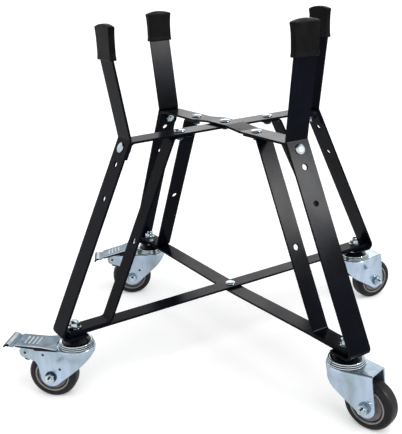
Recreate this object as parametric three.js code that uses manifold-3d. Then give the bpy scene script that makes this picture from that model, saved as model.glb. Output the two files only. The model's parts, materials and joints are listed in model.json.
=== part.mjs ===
// A rolling cradle for an egg-shaped charcoal grill.
// Four bent steel straps stand on the diagonals of a square and end in padded arms. Each strap is
// braced by a second, narrower strap, and two crossed bars tie them together above and below.
// Every foot is bolted to a swivel caster, and the two casters on the left have a brake pedal.
//
// Units are millimetres, +Z is up, and the origin is on the floor under the middle of the whole
// object's box. The pedals reach out on one side, so the stand's own middle lies beside it.
import * as THREE from 'three';
import * as BufferGeometryUtils from 'three/addons/utils/BufferGeometryUtils.js';
import { ConvexGeometry } from 'three/addons/geometries/ConvexGeometry.js';
import Module from 'manifold-3d';

const wasm = await Module();
wasm.setup();

// ---------------------------------------------------------------- driving dimensions

// Fits
const seatGap = 0.3; // between faces that are bolted or rest together
const holeClearance = 0.3; // round a bolt, pin or axle, on the radius
const wheelSidePlay = 0.5; // from each end of the hub to the fork
const brakeGap = 0.7; // from the brake shoe to the tyre with the pedal pressed

// Flat steel
const strapThickness = 3.5;
const outerStrapWidth = 38;
const innerStrapWidth = 28;
const baseBarWidth = 28;
const topBarWidth = 36;
const bendRadius = 6; // on the inside of each bend
const joggleLimit = 0.15; // radians; a slighter turn than this has no radius

// The middle of the stand, from the origin: it puts the origin under the middle of the whole box
const standMiddle = { x: 21, y: -3 };

// Legs, as distances from the middle of the stand and heights above the floor
const kneeRadius = 178.2;
const kneeHeight = 386.5;
const ankleRadius = 316.3;
const stemInset = 33; // from the ankle inward to the caster's stem
const outerFootLength = 46;
const armLean = 9.1; // degrees outward, from the knee to the upright end
const armTipHeight = 547;
const armUprightLength = 46; // the end that stands upright in the cap
const innerLegInset = 80.3; // from the outer leg to the inner leg, level
const innerFootPastStem = 15;
const flangeLength = 33;
const flangeBoltInset = 17.2; // from the bend of the inner leg

// Bars
const topBarDrop = 2.5; // from the knee down to the top face of the top bars
const topTabLength = 28; // down the leg from the knee
const topRampStart = 65;
const topRampEnd = 25;
const baseBarPastStem = 17;
const baseRampStart = 215;
const baseRampEnd = 35;

// Holes along the outer leg, from the knee
const waistBoltAlongLeg = 13.5;
const upperHoleAlongLeg = 39;
const lowerHoleAlongLeg = 92;
const innerHoleAlongLeg = 177;
const adjustHoleDiameter = 9;

// End caps
const capAboveBend = 1; // from the end of the arm's upper bend to the cap
const capRoof = 1; // above the end of the arm, at the cap's corners
const capCrown = 4;
const capSideWall = 1.2; // beside the arm, at the waist
const capFaceWall = 3.15; // before and behind the arm
const capLipRise = 1; // how far the lip stands out from the waist
const capTopRise = 2; // and the flared top
const capEdge = 1.4;
const capLipHeight = 5;
const capFlareHeight = 16;

// Bolts and nuts
const waistBolt = { diameter: 8, acrossFlats: 13, headHeight: 5.3, nutHeight: 6.5, tail: 2 };
const smallBolt = { diameter: 6, acrossFlats: 10, headHeight: 4, nutHeight: 5, tail: 4 };
const stemDiameter = 10;
const stemTail = 3;
const stemNutAcrossFlats = 15;
const stemNutHeight = 9;
const stemNutFlangeDiameter = 20;
const stemNutFlangeHeight = 2.4;
const stemNutFlangeTaper = 1;

// Casters
const wheelDiameter = 75;
const wheelHeadroom = 8.2; // from the tyre up to the fork of a braked caster
const wheelWidth = 24.4;
const hubLength = 28;
const hubDiameter = 18;
const hubFaceDepth = 2.4; // below the side of the tyre
const grooveRadius = 24.2; // inner edge of the groove between hub and tyre
const grooveWidth = 2.8;
const grooveDepth = 3;
const tyreShoulder = 7;
const axleDiameter = 8;
const axleHexAcrossFlats = 13;
const axleHexHeight = 6.5;
const axleTail = 6;
const axleHeadCover = 1; // from the end of the shaft to the outside of its head
const axleWasherDiameter = 18;
const axleWasherThickness = 1.4;
const casterTrail = 40; // from the swivel axis to the axle, level

// Swivel head: a dished double ring on a boss, riveted through the fork
const plainHeadHeight = 14; // from the top of the fork to the seat
const brakedHeadHeight = 16.8; // this fork is lower, to leave room for its pedal
const lowerRingDiameter = 55;
const lowerRingHeight = 3.2;
const upperRingDiameter = 51;
const upperRingHeight = 3.2;
const ringGroove = 1.4;
const bossDiameter = 24;
const ringRounding = 1;
const dishRadius = 19;
const dishDepth = 0.6; // below the rim of the upper ring
const bossHeight = 2;
const stemChamfer = 1;
const kingpinDiameter = 12;
const kingpinHeadDiameter = 20;
const kingpinHeadHeight = 3.2;

// Fork
const forkSheet = 2.5;
const forkTopThickness = 3;
const forkRingDiameter = 57;
const forkShoulderHeight = 58; // where the shoulder has run out into the flat plates
const forkHeelReach = 50; // rear edge of the top plate, from the swivel axis
const forkHeelLean = 3; // how much further back the plates stand at the shoulder
const plainToeReach = 14; // front edge of the flat plates
const brakedToeReach = 11;
const forkEyeRadius = 16.5; // round the axle

// Brake
const pedalPinDiameter = 5;
const pedalPinHeadDiameter = 8;
const pedalPinHeadHeight = 1.6;
const pedalPinReach = 77; // from the swivel axis
const earRadius = 9.5; // round the pin
const earRise = 0.9; // how far the ear stands over the top of the fork
const earDrop = 13.6; // lower edge of the ear, below its pin
const earArcStart = -99; // degrees
const earArcEnd = 108;
const brakeTravel = 16; // degrees
const pedalSheet = 1.6;
const pedalFrontGap = 3; // from the swivel head to the pedal
const pedalCheekSetback = 5; // from the heel of the fork to the pedal's cheeks
const pedalFlatPastPin = 14;
const pedalTipPastPin = 34;
const pedalRise = 2; // from the fork's top to the end of the flat
const pedalFrontWidth = 26;
const pedalTaper = 14;
const pedalCheekGap = 0.4;
const pedalTipWidth = 44;
const pedalDip = 2.2;
const pedalDipLength = 5;
const pedalLip = 1.6;
const pedalLipLength = 8;
const pedalTipDrop = 5.5;
const pedalCheekDepth = 6.5;
const pedalHubPlay = 1.5; // from each end of the hub to the ear
const pedalHubRadius = 5.6;
const shoeInset = 2; // from each end of the hub to the shoe
const shoeSweep = 52; // degrees
const ribCount = 4;
const ribsAhead = -8; // the ribs' middle, from the pin
const ribSpacing = 6.5;
const ribWidth = 2.2;
const ribLength = 24;
const ribHeight = 0.9;

// How each caster happens to stand: the direction from its stem to its axle, in degrees, and the
// side of the wheel that its axle nut is on. The back pedal is pressed and the front one is not.
const corners = [
  { name: 'front_left', angle: 225, casterYaw: 182.3, nutSide: 1, braked: true, pressed: false },
  { name: 'front_right', angle: 315, casterYaw: -28.7, nutSide: -1, braked: false },
  { name: 'back_right', angle: 45, casterYaw: 39, nutSide: -1, braked: false },
  { name: 'back_left', angle: 135, casterYaw: 198.8, nutSide: 1, braked: true, pressed: true },
];

// Facets
const arcSteps = 2;
const outlineSteps = 4; // on the wide curves of a cap, an ear or a shoe
const holeSides = 12;
const boltSides = 12;
const wheelSides = 24;
const headSides = 24;
const ringSides = 24;

// How far a cutting shape reaches past what it cuts
const past = 1;

// ---------------------------------------------------------------- sizes that follow

const step = strapThickness + seatGap; // one strap's place in a stack
const brakedForkTop = wheelDiameter + wheelHeadroom + forkTopThickness;
const casterHeight = brakedForkTop + brakedHeadHeight; // floor to the seat of the stem
const stemRadialPlace = ankleRadius - stemInset;
const outerFootHeight = casterHeight + seatGap; // underside
const baseBarTop = outerFootHeight + step + strapThickness;
const innerFootTop = baseBarTop + step;
const stemTipHeight = innerFootTop + seatGap + stemNutHeight + stemTail;

const knee = new THREE.Vector2(kneeRadius, kneeHeight);
const ankle = new THREE.Vector2(ankleRadius, outerFootHeight);
const downLeg = ankle.clone().sub(knee).normalize();
const outOfLeg = new THREE.Vector2(-downLeg.y, downLeg.x); // square to the leg, outward

const armStraightHeight = armTipHeight - armUprightLength;
const armRise = armStraightHeight - kneeHeight;
const armRadius = kneeRadius + armRise * Math.tan(THREE.MathUtils.degToRad(armLean));
const topBarHeight = kneeHeight - topBarDrop; // top face, at the bars' ends
const flangeTop = topBarHeight - step;
const flangeBend = legRadiusAt(flangeTop, innerLegInset);
const flangeBoltPlace = flangeBend - flangeBoltInset;

const wheelRadius = wheelDiameter / 2;
const forkGap = hubLength + 2 * wheelSidePlay;
const forkWidth = forkGap + 2 * forkSheet;
const pedalWidth = forkWidth + 2 * (pedalCheekGap + pedalSheet);
const pedalHubLength = forkGap - 2 * pedalHubPlay;

// A point on the outer face of the outer leg.
function alongLeg(distance) {
  return knee.clone().addScaledVector(downLeg, distance);
}

// Where a line parallel to the outer leg, moved inward by a level inset, reaches a height.
function legRadiusAt(height, inset = 0) {
  return kneeRadius + ((height - kneeHeight) * downLeg.x) / downLeg.y - inset;
}

// ---------------------------------------------------------------- solids

const finishes = {
  blackPaint: () => new THREE.MeshStandardMaterial({ color: 0x1b1d24, roughness: 0.3, metalness: 0.25 }),
  blackCap: () => new THREE.MeshStandardMaterial({ color: 0x131314, roughness: 0.6, metalness: 0 }),
  zinc: () => new THREE.MeshStandardMaterial({ color: 0xb9c6d2, roughness: 0.32, metalness: 0.9 }),
  tyre: () => new THREE.MeshStandardMaterial({ color: 0x3b3a3e, roughness: 0.7, metalness: 0 }),
};

// A closed geometry as a solid that can be joined and cut.
function toSolid(geometry) {
  const plain = geometry.clone();
  plain.deleteAttribute('normal');
  plain.deleteAttribute('uv');
  const merged = BufferGeometryUtils.mergeVertices(plain);
  const corner = merged.index.array;
  const kept = [];
  for (let i = 0; i < corner.length; i += 3) {
    const [a, b, c] = [corner[i], corner[i + 1], corner[i + 2]];
    if (a !== b && b !== c && c !== a) kept.push(a, b, c);
  }
  const vertProperties = new Float32Array(merged.attributes.position.array);
  return new wasm.Manifold(new wasm.Mesh({ numProp: 3, vertProperties, triVerts: new Uint32Array(kept) }));
}

function toGeometry(solid) {
  const mesh = solid.getMesh();
  const geometry = new THREE.BufferGeometry();
  geometry.setAttribute('position', new THREE.BufferAttribute(mesh.vertProperties, 3));
  geometry.setIndex(new THREE.BufferAttribute(mesh.triVerts, 1));
  geometry.computeVertexNormals();
  return geometry;
}

function join(...geometries) {
  return toGeometry(geometries.map(toSolid).reduce((whole, piece) => whole.add(piece)));
}

function cut(geometry, ...tools) {
  return toGeometry(tools.map(toSolid).reduce((whole, tool) => whole.subtract(tool), toSolid(geometry)));
}

function common(geometry, ...others) {
  return toGeometry(others.map(toSolid).reduce((whole, other) => whole.intersect(other), toSolid(geometry)));
}

// A shape drawn in a side view, with x outward and y up, given a width across it.
function acrossWidth(shape, width, curveSegments = arcSteps) {
  return new THREE.ExtrudeGeometry(shape, { depth: width, bevelEnabled: false, curveSegments })
    .rotateX(Math.PI / 2)
    .translate(0, width / 2, 0);
}

// A shape drawn in a plan view, standing from one height to another.
function upright(shape, bottom, top, curveSegments = arcSteps) {
  const settings = { depth: top - bottom, bevelEnabled: false, curveSegments };
  return new THREE.ExtrudeGeometry(shape, settings).translate(0, 0, bottom);
}

function polygon(points) {
  return new THREE.Shape(points.map(([x, y]) => new THREE.Vector2(x, y)));
}

function box(xRange, yRange, zRange) {
  const size = [xRange, yRange, zRange].map(([low, high]) => high - low);
  const middle = [xRange, yRange, zRange].map(([low, high]) => (low + high) / 2);
  return new THREE.BoxGeometry(...size).translate(...middle);
}

// A round bar from one point towards another, in the side view of a leg or a caster.
function roundBar(from, to, radius, sides) {
  const start = new THREE.Vector3(from.x, 0, from.y);
  const end = new THREE.Vector3(to.x, 0, to.y);
  const run = end.clone().sub(start);
  const turn = new THREE.Quaternion().setFromUnitVectors(new THREE.Vector3(0, 1, 0), run.clone().normalize());
  return new THREE.CylinderGeometry(radius, radius, run.length(), sides)
    .applyQuaternion(turn)
    .translate(...start.add(end).multiplyScalar(0.5));
}

// A round bar across a caster, centred on its middle plane.
function crossBar(place, radius, length, sides) {
  return new THREE.CylinderGeometry(radius, radius, length, sides).translate(place.x, 0, place.y);
}

const middle = new THREE.Vector2(0, 0);

// A solid of revolution about the vertical axis, from points of [radius, height].
function turned(profile, sides) {
  const points = profile.map(([radius, height]) => new THREE.Vector2(radius, height));
  return new THREE.LatheGeometry(points, sides).rotateX(Math.PI / 2);
}

function hexagon(acrossFlats) {
  const radius = acrossFlats / Math.sqrt(3);
  const corner = (i) => [radius * Math.cos((i * Math.PI) / 3), radius * Math.sin((i * Math.PI) / 3)];
  return polygon([0, 1, 2, 3, 4, 5].map(corner));
}

// ---------------------------------------------------------------- bent flat steel

// The side view of a bent strap. The path runs along one face, with the steel on its right.
// Bends are arcs about one centre on both faces, and the slight joggles of a crossing are mitred.
function stripOutline(path, thickness = strapThickness, innerRadius = bendRadius) {
  const direction = (i) => path[i + 1].clone().sub(path[i]).normalize();
  const rightOf = (along) => new THREE.Vector2(along.y, -along.x);
  const bends = path.slice(1, -1).map((vertex, i) => {
    const into = direction(i);
    const out = direction(i + 1);
    const turn = Math.atan2(into.cross(out), into.dot(out));
    const side = Math.sign(turn); // 1 turns left, -1 turns right
    if (Math.abs(turn) < joggleLimit) {
      const square = rightOf(into.clone().add(out).normalize());
      return { near: vertex, far: vertex.clone().addScaledVector(square, thickness / Math.cos(turn / 2)) };
    }
    const radius = side > 0 ? innerRadius : innerRadius + thickness;
    const start = vertex.clone().addScaledVector(into, -radius * Math.tan(Math.abs(turn) / 2));
    const centre = start.clone().addScaledVector(rightOf(into), -side * radius);
    const startAngle = start.clone().sub(centre).angle();
    const farRadius = radius + side * thickness;
    return { centre, side, radius, farRadius, startAngle, endAngle: startAngle + turn };
  });
  const last = path[path.length - 1];
  const firstFar = path[0].clone().addScaledVector(rightOf(direction(0)), thickness);
  const lastFar = last.clone().addScaledVector(rightOf(direction(path.length - 2)), thickness);
  const shape = new THREE.Shape();
  shape.moveTo(firstFar.x, firstFar.y);
  shape.lineTo(path[0].x, path[0].y);
  for (const { near, centre, side, radius, startAngle, endAngle } of bends) {
    if (near) shape.lineTo(near.x, near.y);
    else shape.absarc(centre.x, centre.y, radius, startAngle, endAngle, side < 0);
  }
  shape.lineTo(last.x, last.y);
  shape.lineTo(lastFar.x, lastFar.y);
  for (const { far, centre, side, farRadius, startAngle, endAngle } of bends.reverse()) {
    if (far) shape.lineTo(far.x, far.y);
    else shape.absarc(centre.x, centre.y, farRadius, endAngle, startAngle, side > 0);
  }
  return shape.closePath();
}

// A hole square through the leg, at a distance along it, deep enough for both straps there.
function legHole(place, diameter) {
  const reach = outOfLeg.clone().multiplyScalar(2 * step + strapThickness);
  return roundBar(place.clone().sub(reach), place.clone().add(reach), diameter / 2, holeSides);
}

function uprightHole(radialPlace, diameter, height) {
  const top = new THREE.Vector2(radialPlace, height + strapThickness);
  const bottom = new THREE.Vector2(radialPlace, height - 2 * strapThickness);
  return roundBar(bottom, top, diameter / 2, holeSides);
}

const boltHole = (bolt) => bolt.diameter + 2 * holeClearance;
const stemHole = stemDiameter + 2 * holeClearance;

function outerStrap() {
  const path = [
    new THREE.Vector2(armRadius, armTipHeight),
    new THREE.Vector2(armRadius, armStraightHeight),
    knee,
    ankle,
    new THREE.Vector2(ankleRadius - outerFootLength, outerFootHeight),
  ];
  return cut(
    acrossWidth(stripOutline(path), outerStrapWidth),
    legHole(alongLeg(waistBoltAlongLeg), boltHole(waistBolt)),
    legHole(alongLeg(upperHoleAlongLeg), adjustHoleDiameter),
    legHole(alongLeg(lowerHoleAlongLeg), adjustHoleDiameter),
    uprightHole(stemRadialPlace, stemHole, outerFootHeight + strapThickness),
  );
}

function innerStrap() {
  const path = [
    new THREE.Vector2(flangeBend - flangeLength, flangeTop),
    new THREE.Vector2(flangeBend, flangeTop),
    new THREE.Vector2(legRadiusAt(innerFootTop, innerLegInset), innerFootTop),
    new THREE.Vector2(stemRadialPlace + innerFootPastStem, innerFootTop),
  ];
  const holePlace = alongLeg(innerHoleAlongLeg).sub(new THREE.Vector2(innerLegInset, 0));
  return cut(
    acrossWidth(stripOutline(path), innerStrapWidth),
    uprightHole(flangeBoltPlace, boltHole(smallBolt), flangeTop),
    legHole(holePlace, adjustHoleDiameter),
    uprightHole(stemRadialPlace, stemHole, innerFootTop),
  );
}

// Both ends of a bar that runs across the stand: its right half is given, and the left mirrors it.
function mirrored(rightHalf) {
  const leftHalf = rightHalf.map(({ x, y }) => new THREE.Vector2(-x, y)).reverse();
  return [...leftHalf, ...rightHalf];
}

// The far points of a bar's right half, where it is stepped by a rise at the middle.
function steppedMiddle(rise, height, rampEnd, rampStart) {
  if (rise === 0) return [];
  return [new THREE.Vector2(rampEnd, height + rise), new THREE.Vector2(rampStart, height)];
}

function topBar(rise) {
  const insetLevel = step / outOfLeg.x; // the tab lies against the inside of the leg
  const insideLeg = outOfLeg.clone().multiplyScalar(-step);
  const path = mirrored([
    ...steppedMiddle(rise, topBarHeight, topRampEnd, topRampStart),
    new THREE.Vector2(legRadiusAt(topBarHeight, insetLevel), topBarHeight),
    alongLeg(topTabLength).add(insideLeg),
  ]);
  const holes = [uprightHole(0, boltHole(smallBolt), topBarHeight + rise)];
  for (const side of [0, Math.PI]) {
    holes.push(legHole(alongLeg(waistBoltAlongLeg), boltHole(waistBolt)).rotateZ(side));
    holes.push(uprightHole(flangeBoltPlace, boltHole(smallBolt), topBarHeight).rotateZ(side));
  }
  return cut(acrossWidth(stripOutline(path), topBarWidth), ...holes);
}

function baseBar(rise) {
  const path = mirrored([
    ...steppedMiddle(rise, baseBarTop, baseRampEnd, baseRampStart),
    new THREE.Vector2(stemRadialPlace + baseBarPastStem, baseBarTop),
  ]);
  return cut(
    acrossWidth(stripOutline(path), baseBarWidth),
    uprightHole(0, boltHole(smallBolt), baseBarTop + rise),
    uprightHole(stemRadialPlace, stemHole, baseBarTop),
    uprightHole(-stemRadialPlace, stemHole, baseBarTop),
  );
}

// ---------------------------------------------------------------- end caps

function endCap() {
  const slotHalfDepth = strapThickness / 2 + seatGap;
  const slotHalfWidth = outerStrapWidth / 2 + seatGap;
  const halfWaist = slotHalfWidth + capSideWall - capEdge;
  const halfLip = halfWaist + capLipRise;
  const halfTop = halfWaist + capTopRise;
  const slotBottom = armStraightHeight + capAboveBend;
  const bottom = slotBottom + capEdge;
  const top = armTipHeight + capRoof - capEdge;
  const front = new THREE.Shape();
  front.moveTo(-halfLip, bottom);
  front.lineTo(halfLip, bottom);
  front.lineTo(halfLip, bottom + capLipHeight / 2);
  front.lineTo(halfWaist, bottom + capLipHeight);
  front.quadraticCurveTo(halfWaist, top - capFlareHeight / 3, halfTop, top);
  front.quadraticCurveTo(0, top + 2 * capCrown, -halfTop, top);
  front.quadraticCurveTo(-halfWaist, top - capFlareHeight / 3, -halfWaist, bottom + capLipHeight);
  front.lineTo(-halfLip, bottom + capLipHeight / 2);
  front.closePath();
  const between = 2 * (slotHalfDepth + capFaceWall - capEdge);
  const shell = new THREE.ExtrudeGeometry(front, {
    depth: between,
    bevelThickness: capEdge,
    bevelSize: capEdge,
    bevelSegments: 1,
    curveSegments: outlineSteps,
  });
  const strapMiddle = armRadius - strapThickness / 2;
  shell
    .translate(0, 0, -between / 2)
    .rotateX(Math.PI / 2)
    .rotateZ(Math.PI / 2)
    .translate(strapMiddle, 0, 0);
  const slot = box(
    [strapMiddle - slotHalfDepth, strapMiddle + slotHalfDepth],
    [-slotHalfWidth, slotHalfWidth],
    [slotBottom - past, armTipHeight + seatGap],
  );
  return cut(shell, slot);
}

// ---------------------------------------------------------------- bolts and nuts

// A hex bolt that points down from the origin, with the underside of its head at zero.
function hexBolt(bolt, grip) {
  const length = grip + bolt.nutHeight + bolt.tail;
  const head = upright(hexagon(bolt.acrossFlats), 0, bolt.headHeight);
  const shank = new THREE.CylinderGeometry(bolt.diameter / 2, bolt.diameter / 2, length + seatGap, boltSides)
    .rotateX(Math.PI / 2)
    .translate(0, 0, (seatGap - length) / 2);
  return join(head, shank);
}

// A hex nut that hangs down from the origin.
function hexNut(bolt) {
  const shape = hexagon(bolt.acrossFlats);
  const bore = new THREE.Path().absarc(0, 0, bolt.diameter / 2 + holeClearance, 0, 2 * Math.PI);
  shape.holes.push(bore);
  return upright(shape, -bolt.nutHeight, 0, boltSides / 2);
}

// The flange nut on a caster's stem, standing up from the origin.
function stemNut() {
  const flangeRadius = stemNutFlangeDiameter / 2;
  const collar = upright(hexagon(stemNutAcrossFlats), 0, stemNutHeight);
  const flangeTopRadius = flangeRadius - stemNutFlangeTaper;
  const flange = new THREE.CylinderGeometry(flangeTopRadius, flangeRadius, stemNutFlangeHeight, holeSides)
    .rotateX(Math.PI / 2)
    .translate(0, 0, stemNutFlangeHeight / 2);
  const bore = new THREE.CylinderGeometry(stemHole / 2, stemHole / 2, 3 * stemNutHeight, boltSides)
    .rotateX(Math.PI / 2);
  return cut(join(collar, flange), bore);
}

// ---------------------------------------------------------------- casters
// Each is built with its stem on the Z axis and its wheel towards +X.

const plainFork = { top: casterHeight - plainHeadHeight, toeReach: plainToeReach, braked: false };
const brakedFork = { top: brakedForkTop, toeReach: brakedToeReach, braked: true };
const axlePlace = new THREE.Vector2(casterTrail, wheelRadius);
const pinPlace = new THREE.Vector2(pedalPinReach, brakedFork.top + earRise - earRadius);

function swivelHead(forkTop) {
  const underRing = forkTop + seatGap;
  const ringTop = underRing + lowerRingHeight;
  const grooveTop = ringTop + ringGroove;
  const upperTop = grooveTop + upperRingHeight;
  const rivetTop = forkTop - forkTopThickness - seatGap;
  const pin = kingpinDiameter / 2;
  const boss = bossDiameter / 2;
  const lower = lowerRingDiameter / 2;
  const upper = upperRingDiameter / 2;
  const stem = stemDiameter / 2;
  const rivet = kingpinHeadDiameter / 2;
  return turned(
    [
      [0, rivetTop - kingpinHeadHeight],
      [rivet - ringRounding, rivetTop - kingpinHeadHeight],
      [rivet, rivetTop - kingpinHeadHeight / 2],
      [rivet, rivetTop],
      [pin, rivetTop],
      [pin, underRing],
      [lower - ringRounding, underRing],
      [lower, underRing + lowerRingHeight / 2],
      [lower - ringRounding, ringTop],
      [upper - ringRounding, grooveTop],
      [upper, grooveTop + upperRingHeight / 2],
      [upper - ringRounding, upperTop],
      [dishRadius, upperTop - dishDepth],
      [boss, casterHeight - bossHeight],
      [boss, casterHeight],
      [stem, casterHeight],
      [stem, stemTipHeight - stemChamfer],
      [stem - stemChamfer, stemTipHeight],
      [0, stemTipHeight],
    ],
    headSides,
  );
}

// The outline of the fork's side, seen square to the wheel.
function forkSide({ top, toeReach, braked }) {
  const front = -forkRingDiameter / 2 - past;
  const toe = new THREE.Vector2(-toeReach, forkShoulderHeight);
  const toToe = toe.clone().sub(axlePlace);
  const eyeStart = toToe.angle() + Math.acos(forkEyeRadius / toToe.length()); // tangent to the toe
  const shape = new THREE.Shape();
  shape.moveTo(front, top + past);
  shape.lineTo(front, top - forkTopThickness);
  shape.lineTo(toe.x, toe.y);
  shape.absarc(axlePlace.x, axlePlace.y, forkEyeRadius, eyeStart, 2 * Math.PI, false);
  shape.lineTo(forkHeelReach + forkHeelLean, forkShoulderHeight);
  if (braked) {
    shape.lineTo(forkHeelReach + 2 * forkHeelLean, pinPlace.y - earDrop);
    shape.lineTo(pinPlace.x - earRadius, pinPlace.y - earDrop);
    const arcStart = THREE.MathUtils.degToRad(earArcStart);
    const arcEnd = THREE.MathUtils.degToRad(earArcEnd);
    shape.absarc(pinPlace.x, pinPlace.y, earRadius, arcStart, arcEnd, false);
  }
  shape.lineTo(forkHeelReach, top - forkTopThickness);
  shape.lineTo(forkHeelReach, top + past);
  return shape.closePath();
}

// The hull from the round ring above to the flat plates below, drawn in by a wall.
function forkShoulder({ top, toeReach }, wall) {
  const radius = forkRingDiameter / 2 - wall;
  const halfWidth = forkWidth / 2 - wall;
  const ringHeights = wall > 0 ? [top - forkTopThickness] : [top, top - forkTopThickness];
  const heel = forkHeelReach + forkHeelLean;
  const points = [];
  for (const height of ringHeights) {
    for (let i = 0; i < ringSides; i += 1) {
      const angle = (2 * Math.PI * (i + 0.5)) / ringSides;
      points.push(new THREE.Vector3(radius * Math.cos(angle), radius * Math.sin(angle), height));
    }
  }
  for (const y of [-halfWidth, halfWidth]) {
    points.push(new THREE.Vector3(heel, y, ringHeights[0]));
    points.push(new THREE.Vector3(heel, y, forkShoulderHeight));
    points.push(new THREE.Vector3(-toeReach, y, forkShoulderHeight));
  }
  return new ConvexGeometry(points);
}

function fork(kind) {
  const { top, toeReach, braked } = kind;
  const far = 2 * (pinPlace.x + earRadius);
  const across = [-forkWidth / 2, forkWidth / 2];
  const between = [-forkGap / 2, forkGap / 2];
  const kingpinHole = kingpinDiameter / 2 + holeClearance;
  const plates = join(
    forkShoulder(kind, 0),
    box([-toeReach, far], across, [0, forkShoulderHeight + past]),
    box([forkHeelReach + forkHeelLean / 2, far], across, [forkShoulderHeight, pinPlace.y + 2 * earRadius]),
  );
  const cuts = [
    forkShoulder(kind, forkSheet),
    box([-far, far], between, [-past, top - forkTopThickness]),
    box([forkHeelReach, far], between, [-past, pinPlace.y + 2 * earRadius]),
    roundBar(new THREE.Vector2(0, top / 2), new THREE.Vector2(0, top + past), kingpinHole, holeSides),
    crossBar(axlePlace, axleDiameter / 2 + holeClearance, 2 * forkWidth, holeSides),
  ];
  if (braked) cuts.push(crossBar(pinPlace, pedalPinDiameter / 2 + holeClearance, 2 * forkWidth, holeSides));
  return cut(common(plates, acrossWidth(forkSide(kind), 2 * forkRingDiameter, outlineSteps)), ...cuts);
}

// The tyre, moulded on its hub. Its facets touch the round tread from outside, so that it stands
// on a flat one.
function wheel() {
  const tread = wheelRadius / Math.cos(Math.PI / wheelSides);
  const half = wheelWidth / 2;
  const bore = axleDiameter / 2 + holeClearance;
  const hub = hubDiameter / 2;
  const right = [
    [bore, hubLength / 2],
    [hub, hubLength / 2],
    [hub, half - hubFaceDepth],
    [grooveRadius, half - hubFaceDepth / 2],
    [grooveRadius + grooveWidth / 2, half - grooveDepth],
    [grooveRadius + grooveWidth, half],
    [tread - tyreShoulder, half],
    [tread - tyreShoulder / 4, half - tyreShoulder / 2],
    [tread, half - tyreShoulder],
  ];
  const left = right.map(([radius, across]) => [radius, -across]).reverse();
  const profile = [...right, ...left, right[0]].map(([radius, across]) => new THREE.Vector2(radius, across));
  return new THREE.LatheGeometry(profile.reverse(), wheelSides, Math.PI / wheelSides);
}

// The axle bolt with its nut run up tight, so the two are one solid. Its nut is on the +Y side.
function axle() {
  const seat = forkWidth / 2 + seatGap;
  const washerOut = seat + axleWasherThickness;
  const hexOut = washerOut + axleHexHeight;
  const radius = axleDiameter / 2;
  const washer = crossBar(middle, axleWasherDiameter / 2, axleWasherThickness, holeSides);
  const hex = acrossWidth(hexagon(axleHexAcrossFlats), axleHexHeight + axleWasherThickness / 2);
  const ends = [-1, 1].flatMap((side) => [
    washer.clone().translate(0, side * (seat + axleWasherThickness / 2), 0),
    hex.clone().translate(0, side * (hexOut - axleHexHeight / 2 - axleWasherThickness / 4), 0),
  ]);
  const shaftLength = 2 * hexOut - axleHeadCover + axleTail;
  const shaft = crossBar(middle, radius, shaftLength, boltSides);
  return join(shaft.translate(0, (axleTail + axleHeadCover) / 2, 0), ...ends);
}

// The pin and the pedal are built round the pin's axis, at the origin.
function pedalPin() {
  const seat = forkWidth / 2 + seatGap;
  const head = crossBar(middle, pedalPinHeadDiameter / 2, pedalPinHeadHeight, boltSides);
  const headPlace = seat + pedalPinHeadHeight / 2;
  return join(
    crossBar(middle, pedalPinDiameter / 2, 2 * headPlace, boltSides),
    head.clone().translate(0, headPlace, 0),
    head.clone().translate(0, -headPlace, 0),
  );
}

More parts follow.
